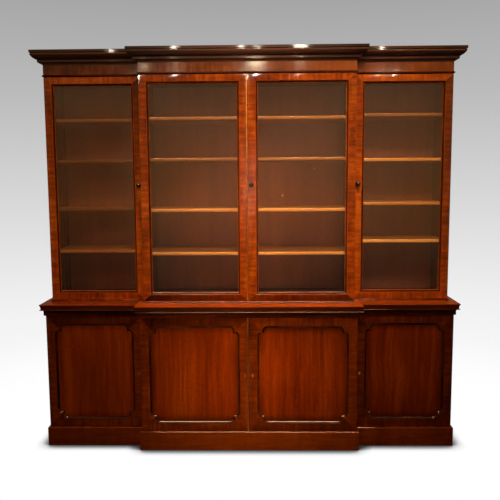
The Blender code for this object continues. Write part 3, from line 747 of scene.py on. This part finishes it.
def build_cornice_moulding():
    """Cove, fascia, ovolo, quirk and fillet, from the frieze up, and the flat top behind them."""
    fascia_bottom = frieze_top + cove_height
    ovolo_bottom = fascia_bottom + fascia_height
    ovolo_top = ovolo_bottom + ovolo_height
    fillet_bottom = ovolo_top + quirk_height
    ovolo_reach = cornice_reach - quirk_depth
    quirk_reach = ovolo_reach - quirk_depth
    turn = math.radians(ovolo_turn)
    radii = ((ovolo_reach - cove_reach) / (1 - math.cos(turn)), ovolo_height / math.sin(turn))
    profile = arc((cove_reach, frieze_top), (cove_reach, cove_height), 180, 90)
    profile += arc((ovolo_reach - radii[0], ovolo_top), radii, -ovolo_turn, 0, 2 * arc_steps)
    profile += [(quirk_reach, ovolo_top), (quirk_reach, fillet_bottom), (cornice_reach, fillet_bottom),
                (cornice_reach, cornice_top - arris), (cornice_reach - arris, cornice_top),
                (-frieze_thickness, cornice_top), (-frieze_thickness, frieze_top)]
    bm = new_bmesh()
    # Painted light and shade: a lighter middle, a pale cove, a dark foot and a light top on the ovolo, and a
    # shaded quirk
    sweep(bm, "upper", profile, first_board["cornice"], tones=(cornice_tone, cornice_tone))
    split(bm, 0, 0.0)
    reach = upper_centre_half + cornice_reach
    shade_along(bm, 0, -reach, 0.0, cornice_end_tones)
    shade_along(bm, 0, 0.0, reach, cornice_end_tones[::-1])
    shade_along(bm, 2, frieze_top, fascia_bottom, cove_tones)
    shade_along(bm, 2, ovolo_bottom, ovolo_top, ovolo_tones)
    shade_along(bm, 2, ovolo_top - ovolo_light_height, ovolo_top, ovolo_light_tones)
    shade_along(bm, 2, ovolo_top, fillet_bottom, quirk_tones)
    make_piece("cornice_moulding", bm, ["cornice"], "case", ["cornice"])


def build_cornice_back_rail():
    bm = new_bmesh()
    half = upper_half - frieze_thickness - hairline
    faces = add_box(bm, (-half, back_y - frieze_thickness, cornice_bottom), (half, back_y, cornice_top))
    grained(bm, faces, "X", first_board["cornice_rail"])
    make_piece("cornice_back_rail", bm, ["back"], "case", ["cornice"])


# Waist and plinth

def build_waist_moulding():
    """Flat and cove under the ledge."""
    radii = (ledge_flat_reach - waist_under_reach, waist_cove)
    profile = [(waist_under_reach, waist_bottom)]
    profile += arc((ledge_flat_reach, ledge_bottom - waist_cove), radii, 180, 90)
    profile += [(-hairline, ledge_bottom, door_thickness), (-hairline, waist_bottom, door_thickness)]
    bm = new_bmesh()
    sweep(bm, "base", profile, first_board["waist"])
    make_piece("waist_moulding", bm, ["bead"], "case", ["waist_board"])


def build_ledge_board():
    """Top board of the base: a thin lip, a groove and a rounded nose round a flat ledge."""
    low = ledge_bottom + hairline
    lip_round = lip_height / 2
    groove_bottom, nose_bottom = low + lip_height, ledge_top - nose_height
    edge = arc((lip_reach - lip_round, low + lip_round), lip_round, -90, 90)
    groove_radii = (waist_reach - groove_reach, nose_bottom - groove_bottom)
    edge += arc((waist_reach, groove_bottom), groove_radii, 180, 90)
    edge += arc((ledge_flat_reach, ledge_top - waist_round), waist_round, 0, 90)
    bm = new_bmesh()
    rings = [add_ring(bm, [(x, y, z) for x, y in breakfront_path("base", reach)]) for reach, z in edge]
    # Painted shade on the nose, darkest at the centre, and painted light in the groove
    for (_, z), first, second in zip(edge, rings, rings[1:]):
        if z < groove_bottom - hairline:
            material, tone, centre_tone = 1, 0.0, 0.0
        elif z <= nose_bottom - hairline:
            material, tone, centre_tone = 2, groove_tone, groove_tone
        elif z < ledge_top - waist_round / 2:
            material, tone, centre_tone = 3, nose_tone, centre_nose_tone
        else:
            material, tone, centre_tone = 3, nose_top_tone, nose_top_tone
        for k, face in enumerate(bridge(bm, first, second)):
            centred = abs(face.calc_center_median().x) < hairline
            grained(bm, [face], "X" if k % 2 else "Y", first_board["ledge_edge"] + k, material,
                    centre_tone if centred else tone)
    # Painted shade on the ledge's flats, deeper on the wings
    flats = [bm.faces.new(rings[0]), bm.faces.new(rings[-1])]
    grained(bm, flats, "X", first_board["ledge"], 0, centre_ledge_tone)
    step = base_centre_half + ledge_flat_reach
    for side in wing_ledge_tones:
        split(bm, 0, side * step, [face for face in bm.faces if face.material_index == 0])
    for side, tone in wing_ledge_tones.items():
        wing = [face for face in bm.faces
                if face.material_index == 0 and face.calc_center_bounds().x * side > step]
        grained(bm, wing, "X", first_board["ledge"], 0, tone)
    make_piece("ledge_board", bm, ["ledge", "dark", "bead", "ledge_edge"], "case",
               ["waist_board"])


def build_foot_bead():
    """Bead that locates the upper stage: a small lip, a neck and a rounded top."""
    foot, top = ledge_top + hairline, ledge_top + foot_bead_height
    lip = foot_lip_round
    round_bottom = top - foot_bead_round
    profile = arc((foot_lip_reach - lip, foot + lip), lip, -90, 90)
    profile.append((foot_bead_reach - hairline, foot + 2 * lip))
    profile += arc((foot_bead_reach - foot_bead_round, round_bottom), foot_bead_round, 0, 90)
    profile += [(hairline, top, foot_bead_depth), (hairline, foot, foot_bead_depth)]
    bm = new_bmesh()
    sweep(bm, "upper", profile, first_board["foot_bead"])
    # Painted shade on the bead's neck
    shade_along(bm, 2, ledge_top + 2 * lip, round_bottom, foot_bead_tones)
    make_piece("foot_bead", bm, ["foot"], "case", ["waist_board"])


def build_plinth():
    """Moulded front and sides, and a rail along the back."""
    inside, shoulder = plinth_reach - plinth_thickness, plinth_top - plinth_round
    profile = [(plinth_reach, 0.0)]
    profile += arc((plinth_reach - plinth_round, shoulder), plinth_round, 0, 90, round_steps)
    profile += [(inside, plinth_top, door_thickness), (inside, 0.0, door_thickness)]
    bm = new_bmesh()
    # Painted light on the plinth, more on its front
    sweep(bm, "base", profile, first_board["plinth"], tones=plinth_tones)
    half = base_half + inside - hairline
    faces = add_box(bm, (-half, back_y - plinth_thickness, 0.0), (half, back_y - hairline, plinth_top))
    grained(bm, faces, "X", first_board["plinth_back"])
    make_piece("plinth_frame", bm, ["base"], "case", ["plinth"])


# Door outlines

def rectangle_corners(half_width, half_height, grow):
    x, z = half_width + grow, half_height + grow
    return [[(x, z)], [(-x, z)], [(-x, -z)], [(x, -z)]]


def shaped_corners(half_width, half_height, grow):
    """Four corners that each turn in two rounds with a small step between them."""
    (upper_x, upper_z), (lower_x, lower_z) = corner_upper_round, corner_lower_round
    lower = (half_width - lower_x, half_height - upper_z - corner_drop_run - lower_z)
    upper = (lower[0] - corner_step_run - upper_x, half_height - upper_z)
    corner = arc(lower, (lower_x + grow, lower_z + grow), 0, 90)
    corner.append((upper[0] + upper_x + grow, lower[1] + lower_z + grow))
    corner += arc(upper, (upper_x + grow, upper_z + grow), 0, 90)
    corners = []
    for mirror_x, mirror_z in ((1, 1), (-1, 1), (-1, -1), (1, -1)):
        turned = [(x * mirror_x, z * mirror_z) for x, z in corner]
        corners.append(turned if mirror_x == mirror_z else turned[::-1])
    return corners


def mitred(bm, outer, inner, axes, board, tones=(0.0, 0.0, 0.0, 0.0)):
    """One face for each side between a rectangle and the opening in it: top, left, bottom and right."""
    for side, tone in enumerate(tones):
        following = (side + 1) % 4
        middle = len(inner[side]) // 2
        ring = [outer[side][0], outer[following][0]]
        ring += inner[following][:middle + 1][::-1] + inner[side][middle:][::-1]
        face = bm.faces.new(ring)
        grained(bm, [face], axes[side % 2], board + side)
        along = 2 * (side % 2)
        ends = [vert.co[along] for vert in face.verts]
        pair = tone if isinstance(tone, tuple) else (tone, tone)
        shade_faces(bm, [face], along, min(ends), max(ends), pair)


def walls(bm, first, second, axes, board, material=0, tone=0.0):
    """Faces between two like outlines, with the grain of the nearest side."""
    size = len(first[0])
    first, second = ([vert for corner in outline for vert in corner] for outline in (first, second))
    for i, face in enumerate(bridge(bm, first, second)):
        side = ((i - size // 2) // size) % 4
        grained(bm, [face], axes[side % 2], board + side, material, tone)


def keyhole_outline(grow):
    """A round over a flared slot, about the middle of the round."""
    radius, foot, drop = keyhole_radius + grow, keyhole_foot + grow, keyhole_drop + grow
    points = arc((0.0, 0.0), radius, keyhole_slot_turn, 180.0 - keyhole_slot_turn, keyhole_steps)
    return points + [(-foot, -drop), (foot, -drop)]


def keyhole_rings(bm, place, profile):
    """Rings of the keyhole's outline, each grown and placed by a pair of (grow, y)."""
    return [add_ring(bm, [(place[0] + x, y, place[1] + z) for x, z in keyhole_outline(grow)])
            for grow, y in profile]


# Doors

class Door:
    """What the pieces of one door share: its box, its opening, its keyhole and its hinges."""

    def __init__(self, stage, place):
        self.stage = stage
        self.place = place
        self.name = f"{stage}_{place}"
        self.body = self.name + "_door"
        self.filling = ("glass_" if stage == "upper" else "panel_") + self.name
        self.low, self.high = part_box("door_" + self.name)
        low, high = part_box(self.filling)
        self.fill_low, self.fill_high = low, high
        self.centre = ((low.x + high.x) / 2, (low.z + high.z) / 2)
        self.half_size = ((high.x - low.x) / 2 - glass_cover, (high.z - low.z) / 2 - glass_cover)
        self.axis = joint_place[self.body]
        self.hang = 1 if self.axis.x < (self.low.x + self.high.x) / 2 else -1
        self.free_edge = self.high.x if self.hang > 0 else self.low.x
        base_height = wing_keyhole_height if "wing" in place else base_keyhole_height
        self.keyhole = (self.free_edge - self.hang * keyhole_from_edge,
                        upper_keyhole_height if stage == "upper" else base_height)
        self.hinges = {end: [corner.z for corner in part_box(f"hinge_{self.name}_{end}")]
                       for end in ("lower", "upper")}

    def opening(self, bm, grow, y, corners=rectangle_corners):
        """Vertices round the opening, grown by a margin and kept by corner."""
        return [[bm.verts.new((self.centre[0] + x, y, self.centre[1] + z)) for x, z in corner]
                for corner in corners(*self.half_size, grow)]

    def rim(self, bm, inset, y):
        """Vertices round the door's own edge, kept by corner."""
        left, right = self.low.x + inset, self.high.x - inset
        foot, head = self.low.z + inset, self.high.z - inset
        return [[bm.verts.new((x, y, z))]
                for x, z in ((right, head), (left, head), (left, foot), (right, foot))]


# Make of each stage's doors: the moulding's width, depth and rounds, and its bands' materials and tones,
# which paint light and shade on the moulding
door_makes = {
    "upper": {"timber": "polished", "corners": rectangle_corners, "moulding": 0.0125, "depth": 0.0090,
              "edge": 0.0020, "sight": 0.0035, "bands": ((0, 0.5), (1, -0.9), (2, 0.2), (0, 0.3))},
    "base": {"timber": "base", "corners": shaped_corners, "moulding": 0.0120, "depth": 0.0070,
             "edge": arris, "sight": 0.0, "bands": ((0, -0.4), (1, -0.9), (1, -0.3), (1, -0.2))},
}


def cut(piece, cutter_bm):
    """Take closed shapes out of a piece and keep the result as its mesh."""
    mesh = closed_mesh("cutter", cutter_bm)
    cutter = add_object("cutter", mesh)
    step = piece.modifiers.new("cut", "BOOLEAN")
    step.object = cutter
    step.solver = "EXACT"
    graph = bpy.context.evaluated_depsgraph_get()
    result = bpy.data.meshes.new_from_object(piece.evaluated_get(graph), depsgraph=graph)
    piece.modifiers.clear()
    old = piece.data
    piece.data = result
    bpy.data.meshes.remove(old)
    bpy.data.objects.remove(cutter)
    bpy.data.meshes.remove(mesh)
    result.set_sharp_from_angle(angle=math.radians(sharp_angle))


def build_door_frame(door, board):
    """Mitred boards with a moulded opening, cut for the keyhole and for the hinges' barrels."""
    front_y, rear_y, seat_y = door.low.y, door.high.y, door.fill_low.y - hairline
    make = door_makes[door.stage]
    moulding, depth, edge, sight = make["moulding"], make["depth"], make["edge"], make["sight"]
    bm = new_bmesh()
    front = door.rim(bm, arris, front_y)
    shoulder, rear = (door.rim(bm, 0.0, y) for y in (front_y + arris, rear_y))
    # Paler arris: edge wear and a painted highlight line
    walls(bm, shoulder, front, crossbanded, board, 0, door_arris_tone)
    walls(bm, rear, shoulder, lengthwise, board)
    profile = arc((moulding + edge, front_y + edge), edge, 270, 180, edge_steps)
    profile.append((moulding, front_y + edge + moulding_quirk))
    profile += arc((moulding, front_y + depth), (moulding - sight_edge, depth - edge), 270, 180)
    profile += arc((sight_edge, front_y + depth + sight), (sight_edge, sight), 270, 180, edge_steps)[1:]
    profile.append((0.0, seat_y))
    rings = [door.opening(bm, grow, y, make["corners"]) for grow, y in profile]
    # Painted light and shade on each board of the door's face
    mitred(bm, front, rings[0], crossbanded, board, door_tones[door.name])
    counts = (edge_steps, 2, arc_steps, edge_steps + 1)
    bands = [band for band, count in zip(make["bands"], counts) for _ in range(count)]
    # The bands' tones paint light and shade on the moulding's rounds
    for first, second, (material, tone) in zip(rings, rings[1:], bands):
        walls(bm, first, second, lengthwise, board + next_board["moulding"], material, tone)
    seat, rebate = (door.opening(bm, rebate_lip, y) for y in (seat_y, rear_y))
    mitred(bm, seat, rings[-1], lengthwise, board)
    walls(bm, seat, rebate, lengthwise, board)
    mitred(bm, rear, rebate, lengthwise, board)
    node = "door_" + door.name
    timbers = [make["timber"], "dark", "bead"]
    piece = make_piece(node + "_frame", bm, timbers, door.body, [node])

    cutter = bmesh.new()
    loft(cutter, keyhole_rings(cutter, door.keyhole, [(keyhole_rim, front_y - overrun),
                                                      (keyhole_rim, front_y + keyhole_depth)]))
    for foot, head in door.hinges.values():
        add_cylinder(cutter, (door.axis.x, door.axis.y, (foot + head) / 2),
                     hinge_barrel_radius + barrel_clearance, head - foot + 2 * barrel_clearance)
    cut(piece, cutter)


def build_beads(door, board):
    """Mitred beads that hold the glass or the panel in its rebate."""
    near, far = door.fill_high.y + hairline, door.high.y - glazing_bead_inset
    outside, inside = rebate_lip - hairline, rebate_lip - glazing_bead_width
    flat = glazing_bead_flat_share * (far - near)
    profile = [(outside, near), (inside, near)]
    profile += arc((outside, near + flat), (inside - outside, far - near - flat), 0, 90, round_steps)
    bm = new_bmesh()
    rings = [door.opening(bm, grow, y) for grow, y in profile]
    for first, second in zip(rings, rings[1:] + rings[:1]):
        walls(bm, first, second, lengthwise, board)
    make_piece("beads_" + door.name, bm, ["polished"], door.body)


def build_keyhole_rim(door):
    """Brass rim let into the stile round the keyhole."""
    face = door.low.y
    seat, root = keyhole_rim - hairline, face + keyhole_depth / 2
    profile = [(seat, root), (seat, face - keyhole_proud * keyhole_edge_share)]
    profile += [(keyhole_rim * across, face - keyhole_proud * up) for across, up in keyhole_front_shares]
    profile.append((0.0, root))
    bm = new_bmesh()
    loft(bm, keyhole_rings(bm, door.keyhole, profile), closed=True)
    metal = "brass" if door.name in bright_rims else "tarnished"
    make_piece("keyhole_rim_" + door.name, bm, [metal], door.body)


def build_lock(door):
    """Flush lock on the back of the stile, with a screw near each corner."""
    width, height = lock_plate_size
    middle, face = door.keyhole[1], door.high.y + hinge_leaf_proud
    bm = new_bmesh()
    faces = add_box(
        bm, (door.free_edge - door.hang * arris, door.high.y - hinge_leaf_thickness, middle - height / 2),
        (door.free_edge - door.hang * width, face, middle + height / 2))
    soften(bm, faces, hinge_leaf_proud / 2, 1)
    for across, up in lock_screw_shares:
        add_screw(bm, (door.free_edge - door.hang * width * across, face, middle + height * up), 1)
    make_piece("lock_" + door.name, bm, ["brass"], door.body)


def add_screw(bm, place, facing):
    """Countersunk head with a slot, just proud of a plate that faces +Y, or -Y where facing is -1."""
    x, y, z = place
    face = y + facing * hinge_leaf_proud * screw_proud_share
    root = y - facing * screw_radius * screw_head_share
    length, width = screw_radius * slot_length_share, screw_radius * slot_width_share
    add_cylinder(bm, (x, (face + root) / 2, z), screw_radius, abs(face - root), screw_sides, math.pi / 2)
    add_box(bm, (x - length, face - facing * hairline, z - width),
            (x + length, face + facing * hinge_leaf_proud * slot_proud_share, z + width))


def build_hinge(door, end):
    """Butt hinge: knuckles shared between the two leaves, with three screws in each leaf."""
    name = f"hinge_{door.name}_{end}"
    foot, head = door.hinges[end]
    x, y = door.axis.x, door.axis.y
    pitch = (head - foot) / hinge_knuckles
    case_y, door_y = y + hairline / 2, y - hairline / 2
    leaves = [
        ("case", new_bmesh(), case_y, case_y + hinge_leaf_thickness, -1, "case", [name]),
        ("door", new_bmesh(), door_y + hinge_leaf_proud, door_y - hinge_leaf_thickness, 1, door.body, []),
    ]
    for k in range(hinge_knuckles):
        bm = leaves[k % 2][1]
        middle = foot + pitch * (k + 0.5)
        faces = add_cylinder(bm, (x, y, middle), hinge_barrel_radius, pitch - hinge_knuckle_gap)
        caps = [face for face in faces if len(face.verts) == barrel_sides]
        soften(bm, caps, hinge_knuckle_round)
    add_cylinder(leaves[0][1], (x, y, (foot + head) / 2), hinge_pin_radius, head - foot)
    for owner, bm, face, rear, facing, body, stands_for in leaves:
        width = door.hang * hinge_leaf_width
        add_box(bm, (x + door.hang * hinge_barrel_radius / 2, face, foot), (x + width, rear, head))
        for across, up in hinge_screw_shares:
            add_screw(bm, (x + width * across, face, foot + (head - foot) * up), facing)
        make_piece(f"{name}_{owner}_leaf", bm, ["tarnished"], body, stands_for)


def build_panel(door, board):
    """Veneered panel with painted shade along its sides. Its tones, painted light and shade, are those of
    its foot, middle and head.
    """
    low, high = door.fill_low, door.fill_high
    foot, middle, head = panel_tones[door.place]
    half_way = (low.z + high.z) / 2
    bm = new_bmesh()
    front = min(add_box(bm, low, high), key=lambda face: face.calc_center_median().y)
    bmesh.ops.inset_individual(bm, faces=[front], thickness=panel_shade_width, use_even_offset=True)
    split(bm, 2, half_way)
    grained(bm, bm.faces, "Z", board)
    shade_along(bm, 2, low.z, half_way, (foot, middle))
    shade_along(bm, 2, half_way, high.z, (middle, head))
    # Painted shade along the panel's sides
    shade = bm.loops.layers.float["tone"]
    for face in bm.faces:
        for loop in face.loops:
            if min(loop.vert.co.x - low.x, high.x - loop.vert.co.x) < panel_shade_width / 2:
                loop[shade] += panel_edge_tone
    make_piece("veneered_" + door.filling, bm, ["panel"], door.body, [door.filling])


def build_doors():
    for stage in door_makes:
        for number, place in enumerate(places):
            door = Door(stage, place)
            board = first_board[stage] + door_boards * number
            build_door_frame(door, board)
            build_beads(door, board + next_board["beads"])
            build_keyhole_rim(door)
            build_lock(door)
            for end in door.hinges:
                build_hinge(door, end)
            if stage == "base":
                build_panel(door, board + next_board["panel"])


# Knobs, strips and shelves

def build_knob(place):
    """Turned knob with a domed front, a bead under it, a waisted neck and a rose."""
    node = "knob_" + place
    low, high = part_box(node)
    centre = (low + high) / 2
    radius, reach = (high.x - low.x) / 2, high.y - low.y
    bm = new_bmesh()
    turns = [math.tau * i / knob_sides for i in range(knob_sides)]
    rings = [add_ring(bm, [(centre.x + radius * share * math.cos(turn), high.y - reach * rise,
                            centre.z + radius * share * math.sin(turn)) for turn in turns])
             for share, rise in knob_outline_shares]
    tip = bm.verts.new((centre.x, low.y, centre.z))
    for i in range(knob_sides):
        bm.faces.new((tip, rings[0][i], rings[0][(i + 1) % knob_sides]))
    for first, second in zip(rings, rings[1:]):
        bridge(bm, first, second)
    bm.faces.new(rings[-1])
    grained(bm, bm.faces, "Y", first_board["knobs"])
    make_piece("turned_" + node, bm, ["ebony"], f"upper_{place}_door", [node], knob_sharp_angle)


def build_strip(stage):
    """Half round brass strip with eased ends, on the left door of a pair. The lower one has painted shade
    towards its top.
    """
    node = "meeting_strip_" + stage
    low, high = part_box(node)
    middle, width, rise = (low.x + high.x) / 2, (high.x - low.x) / 2, high.y - low.y
    ease = width / 2
    shade_from, shade_full = (low.z + (high.z - low.z) * share for share in strip_shade_shares)
    levels = [(low.z + ease * along, share) for along, share in strip_end_shares]
    levels += [(shade_from, 1.0), (shade_full, 1.0)]
    levels += [(high.z - ease * along, share) for along, share in reversed(strip_end_shares)]
    bm = new_bmesh()
    rings = []
    for z, share in levels:
        section = arc((middle, high.y), (-width, -rise * share), 0, 180, strip_steps)
        rings.append(add_ring(bm, [(x, y, z) for x, y in section]))
    loft(bm, rings)
    if stage == "base":
        # Painted shade towards the top
        shade_along(bm, 2, shade_from, shade_full, (0.0, strip_shade_tone))
        shade_along(bm, 2, shade_full + hairline, high.z, (strip_shade_tone, strip_shade_tone))
    make_piece(f"brass_{node}", bm, ["brass"], f"{stage}_centre_left_door", [node])


def build_shelf(bay, number):
    """Shelf board with a pale lipping, rounded along its front edge."""
    board = first_board[bay] + number
    node = f"shelf_{bay}_{number}"
    low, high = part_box(node)
    radius = (high.z - low.z) * shelf_round_share
    section = arc((low.y + radius, high.z - radius), radius, 90, 180, round_steps)
    section += arc((low.y + radius, low.z + radius), radius, 180, 270, round_steps)
    section += [(high.y, low.z), (high.y, high.z)]
    bm = new_bmesh()
    loft(bm, [add_ring(bm, [(x, y, z) for y, z in section]) for x in (low.x, high.x)])
    seam = low.y + lipping_depth
    split(bm, 1, seam)
    lipping = [face for face in bm.faces
               if face.calc_center_median().y < seam or abs(face.normal.x) > square_on]
    grained(bm, bm.faces, "X", board)
    grained(bm, lipping, "X", board + next_board["lipping"], 1, lipping_tones[bay][number - 1])
    make_piece(f"{node}_board", bm, ["shelf", "lipping"], "case", [node])


def dress_cad_nodes():
    """Better materials for the nodes whose own shape is shown."""
    looks = {"base_case": "case", "base_back": "back"}
    for bay in bays:
        looks["upper_case_" + bay] = "case"
        looks["upper_back_" + bay] = "back"
    for place in places:
        looks["glass_upper_" + place] = "glass"
    for node, look in looks.items():
        materials = frame["nodes"][node].data.materials
        materials.clear()
        materials.append(finishes[look])


# Stage

def build_camera():
    cos_pitch, sin_pitch = math.cos(camera_pitch_down), math.sin(camera_pitch_down)
    forward = Vector((math.sin(camera_yaw) * cos_pitch, math.cos(camera_yaw) * cos_pitch, -sin_pitch))
    level = Vector((math.cos(camera_yaw), -math.sin(camera_yaw), 0.0))
    down = forward.cross(level)
    right = level * math.cos(camera_roll) + down * math.sin(camera_roll)
    down = down * math.cos(camera_roll) - level * math.sin(camera_roll)
    turn = Matrix((right, -down, -forward)).transposed()
    data = bpy.data.cameras.new("camera")
    data.sensor_width = camera_sensor
    data.lens = camera_lens
    camera = add_object("camera", data)
    camera.matrix_world = Matrix.Translation(camera_place) @ turn.to_4x4()
    bpy.context.scene.camera = camera


def build_floor():
    """Pale glowing floor with a soft contact shadow painted in from ambient occlusion; the floor fades into
    the backdrop.
    """
    material, tree = empty_material("pale_floor")
    place = add_node(tree, "TexCoord").outputs["Object"]
    distance = add_node(tree, "VectorMath", {0: place}, operation="LENGTH").outputs["Value"]
    solid = rescaled(tree, distance, (floor_solid_radius, floor_fade_radius), (1.0, 0.0),
                     interpolation_type="SMOOTHSTEP")
    open_share = add_node(tree, "AmbientOcclusion", {"Distance": contact_shadow_reach}, samples=16)
    shade = ramp(tree, open_share.outputs["AO"], ((0.50, 0.03), (0.72, 0.30), (0.88, 0.80), (1.0, 1.0)))
    clear = add_node(tree, "BsdfTransparent")
    shader = mix_shader(tree, solid, clear, add_node(tree, "Emission", {"Color": shade, "Strength": 1.0}))
    add_node(tree, "OutputMaterial", {"Surface": shader.outputs[0]})
    bm = bmesh.new()
    bmesh.ops.create_grid(bm, x_segments=1, y_segments=1, size=2.0 * floor_fade_radius)
    mesh = bpy.data.meshes.new("floor")
    bm.to_mesh(mesh)
    bm.free()
    mesh.materials.append(material)
    floor = add_object("floor", mesh)
    floor.location.z = -hairline
    floor.visible_glossy = False
    floor.visible_diffuse = False


def build_world():
    """Grey at the top fading to white below for the camera, and a dim warm surround for light and gloss."""
    world = bpy.data.worlds.new("studio")
    bpy.context.scene.world = world
    world.use_nodes = True
    tree = world.node_tree
    tree.nodes.clear()
    place = add_node(tree, "TexCoord").outputs["Generated"]
    heading = add_node(tree, "SeparateXYZ", {0: place}).outputs
    lifted = math_node(tree, "MULTIPLY_ADD", heading["Z"], 0.5, 0.5)
    sideways = math_node(tree, "MULTIPLY_ADD", heading["X"], 0.5, 0.5)
    backdrop = ramp(tree, lifted, ((0.330, 1.0), (0.405, 0.88), (0.483, 0.685), (0.560, 0.50),
                                   (0.629, 0.38)))
    surround = ramp(tree, lifted, ((0.40, (0.004, 0.003, 0.002)), (0.50, (0.012, 0.008, 0.005)),
                                   (0.60, (0.110, 0.080, 0.050)), (0.75, (0.200, 0.140, 0.090))))
    mirrored = ramp(tree, lifted, ((0.415, (0.004, 0.003, 0.002)), (0.450, (0.40, 0.16, 0.05)),
                                   (0.485, (0.90, 0.38, 0.10)), (0.560, (0.70, 0.34, 0.13)),
                                   (0.590, (0.42, 0.20, 0.08)), (0.75, (0.10, 0.06, 0.03))))
    dimmed = ramp(tree, sideways, ((0.385, (0.60, 0.50, 0.45)), (0.420, 1.0)))
    low_down = ramp(tree, lifted, ((0.535, 1.0), (0.560, 0.0)))
    mirrored = mix_colour(tree, low_down, mirrored, dimmed, "MULTIPLY")
    bright = ramp(tree, lifted, ((0.22, (0.45, 0.22, 0.13)), (0.28, 0.0), (0.585, 0.0),
                                 (0.600, (0.60, 0.50, 0.42))))
    middle = ramp(tree, sideways, ((0.395, 0.15), (0.420, 1.0), (0.555, 1.0), (0.580, 0.15)))
    mirrored = mix_colour(tree, middle, mirrored, bright, "ADD")
    rays = add_node(tree, "LightPath").outputs
    shown, lit, glossy = (add_node(tree, "Background", {"Color": colour, "Strength": strength})
                          for colour, strength in ((backdrop, 1.0), (surround, 1.0), (mirrored, 0.7)))
    unseen = mix_shader(tree, rays["Is Glossy Ray"], lit, glossy)
    both = mix_shader(tree, rays["Is Camera Ray"], unseen, shown)
    add_node(tree, "OutputWorld", {"Surface": both.outputs[0]})


def add_lamp(name, place, target, size, power, spread=180.0, lights="all", colour=lamp_colour):
    """Warm area lamp. One that lights only diffuse or only glossy rays fills or glints without the other."""
    data = bpy.data.lights.new(name, "AREA")
    data.shape = "RECTANGLE"
    data.size, data.size_y = size
    data.energy = power
    data.spread = math.radians(spread)
    data.color = colour
    lamp = add_object(name, data)
    lamp.location = place
    lamp.rotation_euler = (Vector(target) - Vector(place)).to_track_quat("-Z", "Y").to_euler()
    lamp.visible_glossy = lights != "diffuse"
    lamp.visible_diffuse = lights != "glossy"


def add_glint(name, face_y, z, x, width, power, colour):
    """Small lamp, hung where the camera sees it mirrored in the polish at a point of a front face."""
    point = Vector((x, face_y, z))
    mirrored = Vector((camera_place[0], 2 * face_y - camera_place[1], camera_place[2]))
    place = point + (point - mirrored).normalized() * glint_distance
    add_lamp(name, place, point, (width, glint_size), power, colour=colour)


def build_lights():
    for lamp in lamps:
        add_lamp(*lamp)
    for number, glint in enumerate(glints):
        add_glint(f"glint_{number}", *glint, glint_colour)
    for number, glint in enumerate(frieze_glints):
        add_glint(f"frieze_glint_{number}", *glint, frieze_glint_colour)


finishes = make_materials()
build_camera()
build_frieze()
build_cornice_moulding()
build_cornice_back_rail()
build_waist_moulding()
build_ledge_board()
build_foot_bead()
build_plinth()
build_doors()
for knob_place in ("left_wing", "centre_right", "right_wing"):
    build_knob(knob_place)
for strip_stage in ("upper", "base"):
    build_strip(strip_stage)
for shelf_bay in bays:
    for shelf_number in range(1, shelves_in_bay + 1):
        build_shelf(shelf_bay, shelf_number)
dress_cad_nodes()
build_floor()
build_world()
build_lights()
bpy.context.scene.view_settings.view_transform = "Standard"
